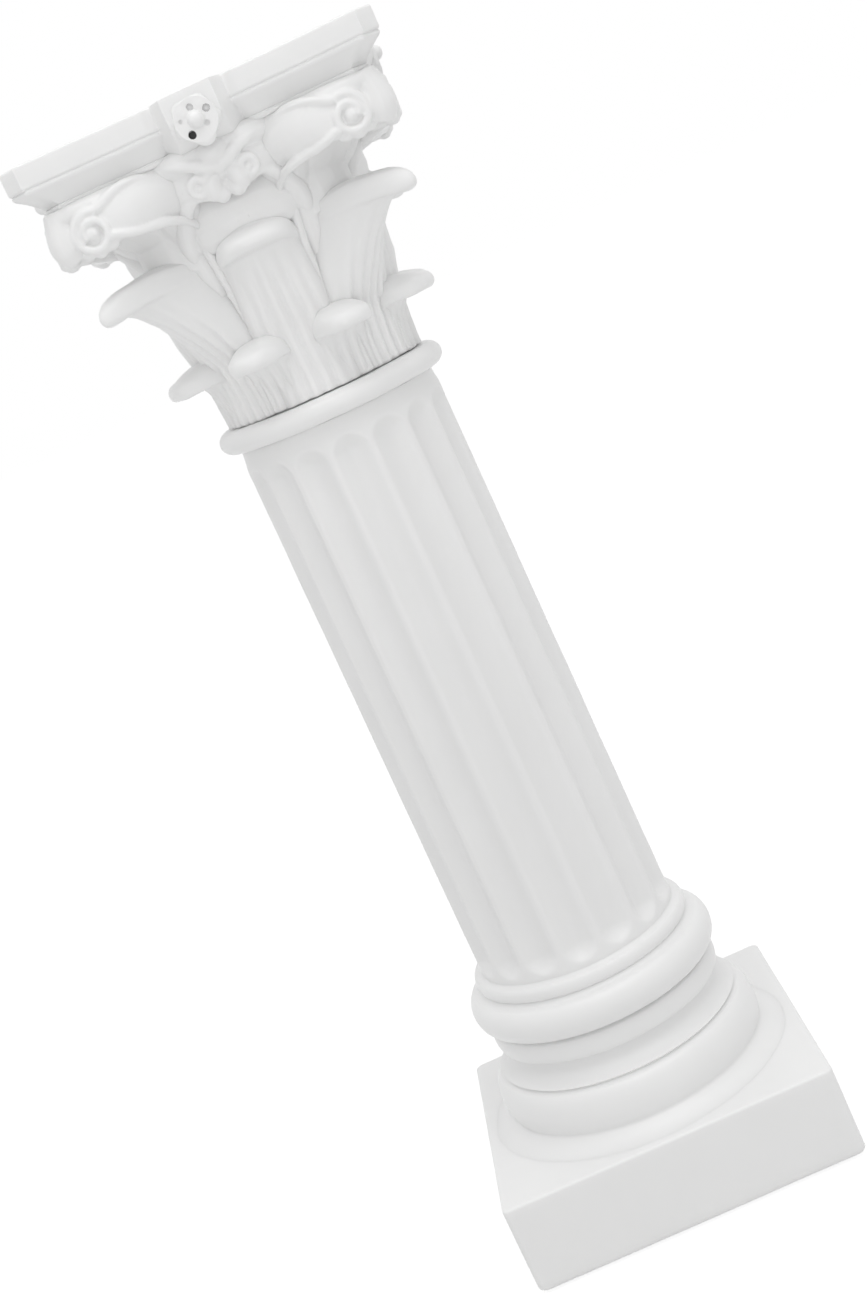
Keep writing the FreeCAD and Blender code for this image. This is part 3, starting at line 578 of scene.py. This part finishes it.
# leaves: body, underside of the curl, lip, back of the lip, skin
leafFoot = ringTop + 0.2
lowLeaf = {"half": 4.9, "thickness": 1.5, "swell": 0.3, "taper": 0.0, "ribs": 5, "ribDepth": 0.8,
           "curl": 4.4, "under": 8.5, "sag": 0.5, "flare": (0.06, 0.45, 0.3),
           "lip": 2.6, "bulb": 0.3, "reach": 7.3, "droop": 0.5, "tipPower": 3.0, "tipRound": 0.5,
           "noseShare": 0.5, "rise": 1.3, "arch": 0.6, "crownShare": 0.6,
           "grain": 0.24, "smoothing": 5, "kept": 1.0, "lumpSize": 5, "lump": 0.5, "seed": 17.0}
faceLeaf = {"half": 7.0, "thickness": 1.8, "swell": 1.2, "taper": 0.0, "ribs": 6, "ribDepth": 0.7,
            "curl": 9.0, "under": 24.6, "sag": 0.8, "flare": (0.15, 0.5, 1.2),
            "lip": 3.6, "bulb": 0.0, "reach": 5.0, "droop": 0.3, "tipPower": 3.0, "tipRound": 0.5,
            "noseShare": 0.9, "rise": 1.0, "arch": 3.6, "crownShare": 0.9,
            "grain": 0.27, "smoothing": 6, "kept": 1.0, "lumpSize": 5, "lump": 0.5, "seed": 19.0}
cornerLeaf = {"half": 7.0, "thickness": 1.8, "swell": 0.6, "taper": 0.28, "ribs": 7, "ribDepth": 1.2,
              "curl": 15.0, "under": 25.2, "sag": 0.8, "flare": (0.54, 0.94, 1.1),
              "lip": 3.6, "bulb": 0.4, "reach": 18.4, "droop": 2.5, "tipPower": 1.8, "tipRound": 0.7,
              "noseShare": 0.8, "rise": -0.3, "arch": 1.2, "crownShare": 0.5,
              "grain": 0.29, "smoothing": 5, "kept": 1.0, "lumpSize": 5, "lump": 0.5, "seed": 23.0}


def leafSection(leaf, side):  # outline in radius and level at a place across the leaf, from -1 to 1
    spread = abs(side)
    full = math.sqrt(max(1 - spread ** 6, 0))
    tipShare = max(1 - spread ** leaf["tipPower"], 0) ** leaf["tipRound"]
    under = leafFoot + leaf["under"] - leaf["sag"] * spread ** 2.5
    spring = under - leaf["curl"]
    lip = leaf["lip"] * (0.25 + 0.75 * full)
    bulb = leaf["bulb"] * tipShare
    top = under + lip
    root = top + leaf["rise"] - leaf["arch"] * spread ** 3
    reach = leaf["reach"] * tipShare + 0.05
    ribs = leaf["ribDepth"] * (0.5 + 0.5 * math.cos(math.pi * leaf["ribs"] * side)) ** 2 * full

    def front(level):
        share = min(max((level - leafFoot) / (spring - leafFoot), 0), 1)
        return bellRadius(level) + (leaf["thickness"] + leaf["swell"] * share ** 2) * full - 0.3 * (1 - full)

    springRadius = front(spring)
    tip = springRadius + reach
    roundness = min(lip * leaf["noseShare"], reach * 0.7)
    rootRadius = bellRadius(root) + leaf["thickness"] * 0.4 * full - 0.2
    body = []
    for step in range(18):
        level = leafFoot + (spring - leafFoot) * step / 18
        body.append((front(level) - ribs, level))
    pullOut, flatStart, pullDown = leaf["flare"]
    curl = bend((springRadius, spring), (springRadius + pullOut * reach, under - pullDown),
                (springRadius + flatStart * (reach - roundness), under), 20)
    curl = [(radius - ribs * (1 - step / 20) ** 2, level + ribs * step / 20 * (1 - step / 20))
            for step, (radius, level) in enumerate(curl)]
    flat = [(springRadius + (reach - roundness) * (flatStart + (1 - flatStart) * share), under)
            for share in (0.3, 0.6, 0.85)]
    nose = []
    for step in range(11):
        angle = math.pi * step / 10
        nose.append((tip - roundness + roundness * math.sin(angle),
                     under + (lip - bulb) / 2 - (lip + bulb) / 2 * math.cos(angle)))
    start = (tip - roundness, top)
    crown = ((start[0] + rootRadius) / 2, top + (root - top) * leaf["crownShare"])
    pull = tuple(2 * middle - (a + b) / 2 for middle, a, b in zip(crown, start, (rootRadius, root)))
    back = bend(start, pull, (rootRadius, root), 12)[1:]
    outline = []
    for radius, level in body + curl + flat + nose + back:
        out = min(max((radius - springRadius) / leaf["reach"], 0), 1)
        outline.append((radius, level - leaf["droop"] * out ** 2))
    return outline + [(bellSizes["neck"] - 2, root), (bellSizes["neck"] - 2, leafFoot)]


def makeLeaf(name, leaf, steps=28):
    rings = []
    for step in range(-steps, steps + 1):
        side = math.sin(math.pi / 2 * step / steps)
        ring = []
        for radius, level in leafSection(leaf, side):
            height = min(max((level - leafFoot) / leaf["under"], 0), 1)
            across = side * leaf["half"] * (1 - leaf["taper"] * height ** 2)
            ring.append((math.sqrt(radius ** 2 - across ** 2), across, level))
        rings.append(ring)
    return loft(name, rings)


def makeLeaves():
    for leaf, name, stem, count, start in ((lowLeaf, "lowLeaves", "lower_leaf", 8, -67.5),
                                           (faceLeaf, "faceLeaves", "upper_leaf", 4, -90),
                                           (cornerLeaf, "cornerLeaves", "corner_leaf", 4, -45)):
        obj = makeLeaf(stem, leaf)
        softenPiece(obj, leaf)
        castRing(obj, count, start, leaf)
        finishPiece(obj, name, numbered(stem, count), 80)


# modelled ornament: rough forms run together, then smoothed
def smoothPath(points, steps):  # a line that passes through every point
    rounded = []
    ends = [points[0]] + list(points) + [points[-1]]
    for place in range(1, len(ends) - 2):
        before, start, end, after = (Vector(point) for point in ends[place - 1:place + 3])
        for step in range(steps):
            share = step / steps
            rounded.append(0.5 * (2 * start + (end - before) * share
                                  + (2 * before - 5 * start + 4 * end - after) * share ** 2
                                  + (3 * start - before - 3 * end + after) * share ** 3))
    return rounded + [Vector(points[-1])]


def addStem(bm, points, radii, flatness=1.0, outwards=(1, 0, 0), steps=6, sides=14):
    line = smoothPath(points, steps)
    widths = [value.x for value in smoothPath([(radius, 0, 0) for radius in radii], steps)]
    rows = []
    for place, point in enumerate(line):
        heading = (line[min(place + 1, len(line) - 1)] - line[max(place - 1, 0)]).normalized()
        normal = Vector(outwards) - heading * heading.dot(Vector(outwards))
        normal.normalize()
        beside = heading.cross(normal)
        row = []
        for side in range(sides):
            angle = 2 * math.pi * side / sides
            spot = point + widths[place] * (math.cos(angle) * beside + flatness * math.sin(angle) * normal)
            row.append(bm.verts.new(spot * mm))
        rows.append(row)
    for row, following in zip(rows, rows[1:]):
        for side in range(sides):
            nextSide = (side + 1) % sides
            bm.faces.new((row[side], row[nextSide], following[nextSide], following[side]))
    bm.faces.new(rows[0][::-1])
    bm.faces.new(rows[-1])


def addBall(bm, centre, radius, stretch=(1, 1, 1)):
    shape = Matrix.Translation(Vector(centre) * mm) @ Matrix.Diagonal((*(Vector(stretch) * radius * mm), 1))
    bmesh.ops.create_icosphere(bm, subdivisions=3, radius=1.0, matrix=shape)


def addDrum(bm, centre, normal, radius, depth):  # face at the centre, body behind it
    turn = Vector(normal).to_track_quat("Z", "Y").to_matrix().to_4x4()
    shape = Matrix.Translation((Vector(centre) - Vector(normal).normalized() * depth / 2) * mm) @ turn
    bmesh.ops.create_cone(bm, cap_ends=True, segments=40, radius1=radius * mm, radius2=radius * mm,
                          depth=depth * mm, matrix=shape)


def sculpt(name, bm, sizes):
    mesh = bpy.data.meshes.new(name)
    bmesh.ops.recalc_face_normals(bm, faces=bm.faces)
    bm.to_mesh(mesh)
    bm.free()
    obj = bpy.data.objects.new(name, mesh)
    bpy.context.scene.collection.objects.link(obj)
    softenPiece(obj, sizes)
    return obj


def onBell(across, level, proud):  # a place in front of the bell
    radius = bellRadius(level) + proud
    return (math.sqrt(radius ** 2 - across ** 2), across, level)


# stalks between the tall leaves
stalkSizes = {"foot": 15.0, "length": 17.5, "footRadius": 0.6, "topRadius": 1.4, "collar": 1.7, "stand": 0.2,
              "grain": 0.2, "smoothing": 4, "kept": 1.0, "lumpSize": 4, "lump": 0.4, "seed": 29.0}


def makeStalks():
    sizes = stalkSizes
    bm = bmesh.new()
    foot = leafFoot + sizes["foot"]
    swell = sizes["topRadius"] - sizes["footRadius"]
    levels = [foot + sizes["length"] * share for share in (0, 0.35, 0.7, 1)]
    radii = [sizes["footRadius"] + swell * share for share in (0, 0.2, 0.55, 1)]
    addStem(bm, [onBell(0, level, sizes["stand"]) for level in levels], radii)
    head = levels[-1]
    addStem(bm, [onBell(0, head + rise, sizes["stand"]) for rise in (-0.5, 0.2, 0.9)],
            [sizes["topRadius"], sizes["collar"], sizes["topRadius"]])
    stalk = sculpt("stalk", bm, sizes)
    castRing(stalk, 8, -67.5, sizes)
    finishPiece(stalk, "stalks", numbered("stalk", 8), 80)


# small scrolls in the middle of each face, places given from the crossing of the two arms
scrollSizes = {"crossing": 3.3, "eye": (4.1, -2.1), "curl": 1.5, "curlSteps": 13, "curlProud": 3.85,
               "grain": 0.18, "smoothing": 4, "kept": 0.42, "lumpSize": 3, "lump": 0.3, "seed": 31.0}


def makeCentreScrolls():
    sizes = scrollSizes
    middle = bellTop - sizes["crossing"]
    bm = bmesh.new()
    for hand in (-1, 1):
        def spot(across, rise, proud):
            return onBell(hand * across, middle + rise, proud)
        # arm from under the slab down to the middle
        addStem(bm, [spot(11.4, 3.4, 1.6), spot(8.1, 2.7, 2.5), spot(5.6, 1.9, 3.1), spot(3.2, 1.0, 3.8),
                     spot(1.7, 0.3, 4.1), spot(-0.6, -0.3, 3.8)], [0.7, 0.85, 0.9, 1.0, 1.1, 1.2])
        # curl round the eye
        eyeAcross, eyeRise = sizes["eye"]
        turns = [spot(1.4, 0.1, 3.8)]
        widths = [0.9]
        for step in range(sizes["curlSteps"]):
            angle = math.radians(150 - 30 * step)
            radius = sizes["curl"] * (1 - 0.03 * step)
            turns.append(spot(eyeAcross + radius * math.cos(angle), eyeRise + radius * math.sin(angle),
                              sizes["curlProud"]))
            widths.append(0.7 - 0.02 * step)
        addStem(bm, turns, widths, steps=3)
        addBall(bm, spot(eyeAcross, eyeRise, 3.6), 0.7)
        # lobe beside the middle, and the leg that arches down to the stalk
        addStem(bm, [spot(1.5, -0.8, 3.0), spot(2.3, -2.9, 3.0), spot(1.75, -4.1, 2.8)], [1.2, 1.65, 1.35])
        addBall(bm, spot(1.35, -4.1, 2.7), 1.45)
        addBall(bm, spot(3.3, -3.1, 2.6), 1.35)
        addStem(bm, [spot(3.2, -3.6, 2.0), spot(5.6, -3.0, 2.2), spot(7.6, -4.2, 1.9), spot(8.8, -6.2, 1.3),
                     spot(9.5, -9.0, 0.5), spot(9.6, -13.0, 0.0)], [0.9, 1.0, 1.3, 1.6, 1.7, 1.5])
        # web behind
        addStem(bm, [spot(1.6, 0.2, 1.6), spot(4.0, -0.4, 1.4), spot(6.4, -0.7, 1.35), spot(9.6, -1.5, 1.1)],
                [2.8, 3.2, 3.1, 2.7], flatness=0.62)
        addStem(bm, [spot(-1.2, 2.2, 1.8), spot(3.0, 2.4, 1.8), spot(8.0, 2.4, 1.5), spot(11.4, 2.0, 1.2)],
                [2.0, 2.0, 1.9, 1.7])
        # fill of the niche below, down to the leaf
        addStem(bm, [spot(-1.0, -7.0, -0.4), spot(3.5, -7.0, -0.4), spot(7.6, -7.2, -0.7),
                     spot(9.0, -7.4, -1.0)], [5.2, 5.2, 4.6, 3.8], flatness=0.4)
    # knob at the crossing
    addBall(bm, onBell(0, middle + 1.9, 2.6), 2.2, (1, 1.3, 1))
    addBall(bm, onBell(0, middle - 0.7, 2.6), 1.5)
    addBall(bm, onBell(0, middle - 3.1, 2.0), 1.3)
    scroll = sculpt("centreScroll", bm, sizes)
    castRing(scroll, 4, -90, sizes)
    finishPiece(scroll, "centreScrolls", numbered("centre_scroll", 4), 80)


# large scrolls under the corners
voluteSizes = {"reach": 35.0, "spread": 5.1, "drop": 5.0, "radius": 3.9, "turn": 40.0, "depth": 4.4,
               "ribbon": 0.72, "coilSteps": 18, "eye": 1.1,
               "grain": 0.22, "smoothing": 6, "kept": 0.32, "lumpSize": 3, "lump": 0.3, "seed": 37.0}


def makeCornerVolutes():
    sizes = voluteSizes
    level = bellTop - sizes["drop"]
    turn = math.radians(sizes["turn"])
    bm = bmesh.new()
    for hand in (-1, 1):
        centre = Vector((sizes["reach"], hand * sizes["spread"], level))
        facing = Vector((math.cos(turn), hand * math.sin(turn), 0))
        towards = Vector((math.sin(turn), -hand * math.cos(turn), 0))  # along the face, to the corner

        def spot(across, rise, proud):  # a place on the scroll
            return centre + towards * across + Vector((0, 0, rise)) + facing * proud

        def flank(reach, across, rise):  # a place beside the corner
            return (reach, hand * across, level + rise)
        addDrum(bm, spot(0, 0, -0.7), facing, sizes["radius"] - 0.5, sizes["depth"])
        # ribbon: over the top, down the corner side, and round to the eye
        coil = []
        widths = []
        for step in range(sizes["coilSteps"]):
            angle = math.radians(120 - 30 * step)
            radius = (sizes["radius"] - sizes["ribbon"] * 0.8) * (1 - 0.036 * step)
            coil.append(spot(radius * math.cos(angle), radius * math.sin(angle), -0.4 + 0.02 * step))
            widths.append(sizes["ribbon"] * (1 - 0.015 * step))
        addStem(bm, coil, widths, steps=3, outwards=facing)
        addBall(bm, spot(0.1, -0.1, -0.6), sizes["eye"])
        # horn from the stalk to the scroll: a broad band
        addStem(bm, [flank(17.0, 8.2, -5.7), flank(20.4, 9.0, -1.3), flank(24.6, 9.2, 0.9),
                     flank(29.0, 7.9, 1.3), spot(-1.6, 0.4, -1.6)],
                [1.8, 2.8, 3.9, 3.7, 2.8], flatness=0.5, outwards=facing)
        # shelf between the horn and the slab
        addStem(bm, [flank(17.0, 10.6, 3.5), flank(22.0, 9.6, 3.6), flank(28.0, 7.4, 3.7),
                     flank(33.0, 4.6, 3.7)], [1.8, 1.8, 1.8, 1.7], outwards=facing)
        addStem(bm, [flank(28.0, 7.4, 3.9), flank(33.0, 4.6, 4.0), flank(36.4, 1.0, 4.0)], [1.6, 1.5, 1.3])
        # rims along the upper and lower edge of the horn
        addStem(bm, [flank(21.0, 8.8, -1.3), flank(23.2, 9.8, 2.9), flank(26.0, 9.9, 4.5),
                     flank(29.6, 8.6, 4.7), spot(-1.7, 3.0, -0.5)],
                [0.5, 0.6, 0.65, 0.7, 0.7], outwards=facing)
        addStem(bm, [flank(17.4, 8.6, -6.1), flank(20.6, 9.4, -3.9), flank(25.0, 9.8, -2.8),
                     flank(29.6, 8.4, -2.3), spot(-2.4, -1.4, -0.2)],
                [0.6, 0.7, 0.75, 0.75, 0.65], outwards=facing)
        # broad root of the horn, beside the hollow of the corner
        addStem(bm, [flank(16.0, 3.8, -16.3), flank(17.2, 4.2, -10.3), flank(17.4, 4.6, -5.9),
                     flank(21.0, 6.4, -0.7)], [2.0, 2.8, 2.9, 3.1], outwards=facing)
        # ragged foliage under the scroll
        for across, rise, proud, size in ((-3.2, -1.9, -1.6, 1.0), (-1.6, -2.8, -1.5, 1.0),
                                          (0.3, -3.2, -1.4, 0.9), (2.0, -2.7, -1.8, 1.0)):
            addBall(bm, spot(across, rise, proud), size, (1.2, 1.2, 0.7))
    addStem(bm, [(36.0, 0, level - 2.6), (36.8, 0, level), (36.0, 0, level + 5.0)], [1.9, 2.5, 1.9])
    # core of the corner, between the leaf below and the slab above
    addStem(bm, [(17.2, 0, level - 11.0), (17.2, 0, level - 6.0), (17.6, 0, level - 2.6),
                 (21.5, 0, level + 3.2)], [6.0, 6.0, 6.1, 8.4])
    addStem(bm, [(26, 0, level + 0.4), (31, 0, level + 0.8), (36, 0, level + 0.8)], [3.0, 2.8, 2.4])
    volute = sculpt("cornerVolute", bm, sizes)
    castRing(volute, 4, -45, sizes)
    finishPiece(volute, "cornerVolutes", numbered("corner_volute", 4), 80)


# slab on top
slabSizes = {"hollow": 2.6, "cornerCut": 2.55, "fascia": 3.8, "bead": 0.9, "beadInset": 0.35, "coveTop": 0.7,
             "coveFoot": 3.7, "edge": 0.4, "blockHalf": 4.2, "cheek": 2.6, "setback": 0.9, "blockRoot": 6.0,
             "blockEase": 4.5, "blockFoot": 3.4, "valley": 1.2, "valleyPlace": 5.8, "valleyWidth": 1.3,
             "lumpSize": 9, "lump": 0.16, "seed": 41.0}


def slabRing(inset, level, places):
    sizes = slabSizes
    half = slabHalf - inset
    end = half - sizes["cornerCut"]
    front = slabHalf - sizes["setback"]
    root = slabHalf - sizes["blockRoot"]
    foot = max(1 - (level - bellTop) / sizes["blockEase"], 0)
    points = []
    for quarter in range(4):
        turn = math.pi / 2 * quarter
        for place in places:
            along = place * end
            valley = math.exp(-((abs(along) - sizes["valleyPlace"]) / sizes["valleyWidth"]) ** 2)
            side = half - sizes["hollow"] * (1 - place ** 2) - sizes["valley"] * valley
            slope = (abs(along) - sizes["blockHalf"]) / sizes["cheek"]
            block = front - max(slope, 0) * (front - root) - sizes["blockFoot"] * foot ** 2
            out = softMax(side, block, 0.5) if slope < 2 else side
            points.append((along * math.cos(turn) + out * math.sin(turn),
                           along * math.sin(turn) - out * math.cos(turn), level))
    return points


def makeSlab():
    sizes = slabSizes
    coveFoot = sizes["coveFoot"]
    coveTop = sizes["coveTop"]
    edge = sizes["edge"]
    top = slabTop - sizes["lump"] / 2
    beadTop = top - sizes["fascia"]
    beadFoot = beadTop - sizes["bead"]
    profile = [(coveFoot + 0.5, bellTop), (coveFoot + 0.1, bellTop + 0.1)]
    profile += halfRound(coveFoot + 0.1, coveFoot - 0.25, bellTop + 0.1, bellTop + 1.0, 8)
    # hollow moulding and the bead above it
    coveMiddle = (coveFoot * 0.56 + coveTop * 0.44, (bellTop + 1.1) * 0.42 + beadFoot * 0.58)
    profile += bend((coveFoot, bellTop + 1.1), coveMiddle, (coveTop, beadFoot), 10)
    profile += bend((coveTop, beadFoot), (sizes["beadInset"] - 0.4, (beadFoot + beadTop) / 2),
                    (sizes["beadInset"], beadTop), 8)
    for step in range(6):
        angle = math.pi / 2 * step / 5
        profile.append((sizes["beadInset"] * (1 - math.sin(angle)), beadTop + edge * (1.2 - math.cos(angle))))
    # upright face and its rounded top edge
    profile += [(0, beadTop + sizes["fascia"] * share) for share in (0.3, 0.5, 0.7)]
    for step in range(6):
        angle = math.pi / 2 * step / 5
        profile.append((edge * (1 - math.cos(angle)), top - edge * (1 - math.sin(angle))))
    # places along a side, close together at the block
    places = [-1 + 0.72 * step / 18 for step in range(18)]
    places += [-0.28 + 0.56 * step / 56 for step in range(57)]
    places += [0.28 + 0.72 * step / 18 for step in range(1, 19)]
    slab = loft("slab", [slabRing(inset, level, places) for inset, level in profile])
    castRing(slab, 1, 0, sizes)
    finishPiece(slab, "topSlab", ["abacus"], 40)


# flower on each block, its holes drilled by hand: angle, distance, radius, share of the full depth, which
# also sets how dark the painted shade inside the hole is
flowerSizes = {"drop": 4.75, "petal": 1.7, "ring": 2.4, "boss": 1.3, "plate": 3.4, "holeDepth": 0.9,
               "holes": ((24, 2.25, 0.52, 0.8), (94, 1.95, 0.48, 0.5), (166, 2.3, 0.3, 0.04),
                         (231, 2.35, 0.6, 1.0), (321, 1.7, 0.42, 0.06)),
               "grain": 0.1, "smoothing": 6, "kept": 1.0, "lumpSize": 2, "lump": 0.25, "seed": 43.0}


def makeFlowers():
    sizes = flowerSizes
    front = slabHalf - slabSizes["setback"]
    level = slabTop - sizes["drop"]

    def spot(angle, ring, proud):
        return Vector((front + proud, ring * math.cos(angle), level + ring * math.sin(angle)))
    bm = bmesh.new()
    addDrum(bm, spot(0, 0, 0.3), (1, 0, 0), sizes["plate"], 1.4)
    addBall(bm, spot(0, 0, 0.3), sizes["boss"])
    holes = [(math.radians(angle), ring, radius, depth) for angle, ring, radius, depth in sizes["holes"]]
    angles = [hole[0] for hole in holes]
    for angle, following in zip(angles, angles[1:] + [angles[0] + 2 * math.pi]):
        middle = (angle + following) / 2
        ring = sizes["ring"] + 0.15 * math.sin(5 * middle)
        radius = sizes["petal"] + 0.2 * math.sin(3 * middle)
        addBall(bm, spot(middle, ring, -0.3), radius, (0.4, 1, 1))
    flower = sculpt("flower", bm, sizes)
    drill = bmesh.new()
    for angle, ring, radius, depth in holes:
        addDrum(drill, spot(angle, ring, 3), (1, 0, 0), radius, 3 + sizes["holeDepth"] * depth)
    cutterMesh = bpy.data.meshes.new("drill")
    drill.to_mesh(cutterMesh)
    drill.free()
    cutter = bpy.data.objects.new("drill", cutterMesh)
    bpy.context.scene.collection.objects.link(cutter)
    cut = flower.modifiers.new("drill", "BOOLEAN")
    cut.object = cutter
    cut.solver = "EXACT"
    bakeModifiers(flower)
    bpy.data.objects.remove(cutter)
    # painted shade: each vertex inside a hole gets its hole's depth share, which the resin colour darkens
    # towards near-black
    paintedHoleShade = flower.data.attributes.new("paintedHoleShade", "FLOAT", "POINT")
    for vertex, mark in zip(flower.data.vertices, paintedHoleShade.data):
        place = vertex.co / mm
        shades = [depth for angle, ring, radius, depth in holes
                  if (place - spot(angle, ring, place.x - front)).length < radius * 1.02]
        mark.value = max(shades, default=0.0)
    castRing(flower, 4, -90, sizes)
    finishPiece(flower, "flowers", numbered("rosette", 4), 80)


makePlinth()
makeBase()
makeShaft()
makeRing()
makeBell()
makeLeaves()
makeStalks()
makeCentreScrolls()
makeCornerVolutes()
makeSlab()
makeFlowers()

# pieces kept from the frame
keptPieces = {"base_felt": felt, "tie_rod": rodSteel, "rod_nut": rodSteel, "rod_washer": rodSteel,
              "top_sleeve": sleeveBrass}
for node, finish in keptPieces.items():
    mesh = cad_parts[node].data
    mesh.materials.clear()
    mesh.materials.append(finish)
print("object made")


# floor, light and camera
floorSizes = {"half": 4000, "level": -0.05}


def seenDirectly(tree):  # 1 where the eye meets a surface, also in metal or glass
    seen = addNode(tree, "ShaderNodeLightPath").outputs
    bare = calc(tree, "MAXIMUM", seen["Is Camera Ray"], seen["Is Glossy Ray"])
    return calc(tree, "MAXIMUM", bare, seen["Is Transmission Ray"])


def makeFloor():
    half = floorSizes["half"]
    corners = [(-half, -half), (half, -half), (half, half), (-half, half)]
    floor = makeObject("floor", [(x, y, floorSizes["level"]) for x, y in corners], [(0, 1, 2, 3)])
    mat = bpy.data.materials.new("paleFloor")
    mat.use_nodes = True
    tree = mat.node_tree
    tree.nodes.clear()
    direct = seenDirectly(tree)
    paper = addNode(tree, "ShaderNodeBsdfDiffuse", {"Color": (0.8, 0.8, 0.8, 1)})
    # seen directly, the floor is white and keeps a pale shadow
    pale = addNode(tree, "ShaderNodeBsdfDiffuse", {"Color": (0.25, 0.25, 0.25, 1)})
    glow = addNode(tree, "ShaderNodeEmission", {"Color": (0.86, 0.86, 0.86, 1)})
    white = addNode(tree, "ShaderNodeAddShader", {0: pale.outputs[0], 1: glow.outputs[0]})
    mixed = addNode(tree, "ShaderNodeMixShader", {0: direct, 1: paper.outputs[0], 2: white.outputs[0]})
    addNode(tree, "ShaderNodeOutputMaterial", {"Surface": mixed.outputs[0]})
    floor.data.materials.append(mat)


lightSizes = {
    "sky": 0.70,
    "lamps": {
        "frontLamp": {"place": (60, -450, 430), "aim": (0, 0, 105), "size": 450, "power": 0.10, "beam": 180},
        "topLamp": {"place": (80, -260, 1000), "aim": (0, 0, 105), "size": 800, "power": 2.9, "beam": 180},
        "capitalLamp": {"place": (-60, -420, 90), "aim": (0, 0, 200), "size": 120, "power": 0.0042,
                        "beam": 26}}}


def makeLight():
    sizes = lightSizes
    world = bpy.data.worlds.new("studio")
    bpy.context.scene.world = world
    world.use_nodes = True
    tree = world.node_tree
    tree.nodes.clear()
    direct = seenDirectly(tree)
    strength = addNode(tree, "ShaderNodeMapRange", {"Value": direct, "To Min": sizes["sky"], "To Max": 1.0})
    sky = addNode(tree, "ShaderNodeBackground", {"Color": (1, 1, 1, 1), "Strength": strength.outputs[0]})
    addNode(tree, "ShaderNodeOutputWorld", {"Surface": sky.outputs[0]})
    for name, lamp in sizes["lamps"].items():
        data = bpy.data.lights.new(name, "AREA")
        data.shape = "DISK"
        data.size = lamp["size"] * mm
        data.energy = lamp["power"]
        data.spread = math.radians(lamp["beam"])
        obj = bpy.data.objects.new(name, data)
        bpy.context.scene.collection.objects.link(obj)
        obj.location = Vector(lamp["place"]) * mm
        aim = Vector(lamp["aim"]) * mm - obj.location
        obj.rotation_euler = aim.to_track_quat("-Z", "Y").to_euler()


viewSizes = {"azimuth": 2.1, "elevation": 11.81, "roll": -24.75, "target": (-1.84, 0, 103.5),
             "distance": 339.0, "lens": 54.91}


def makeCamera():
    sizes = viewSizes
    azimuth, elevation, roll = (math.radians(sizes[name]) for name in ("azimuth", "elevation", "roll"))
    back = Vector((math.sin(azimuth) * math.cos(elevation), -math.cos(azimuth) * math.cos(elevation),
                   math.sin(elevation)))
    level = Vector((math.cos(azimuth), math.sin(azimuth), 0))
    upright = back.cross(level)
    right = math.cos(roll) * level + math.sin(roll) * upright
    top = math.cos(roll) * upright - math.sin(roll) * level
    data = bpy.data.cameras.new("camera")
    data.lens = sizes["lens"]
    data.sensor_width = 36.0
    data.clip_start = 0.01
    camera = bpy.data.objects.new("camera", data)
    bpy.context.scene.collection.objects.link(camera)
    turn = Matrix((right, top, back)).transposed().to_4x4()
    camera.matrix_world = Matrix.Translation((Vector(sizes["target"]) + back * sizes["distance"]) * mm) @ turn
    bpy.context.scene.camera = camera


makeFloor()
makeLight()
makeCamera()
bpy.context.scene.view_settings.view_transform = "Standard"
print("studio set")
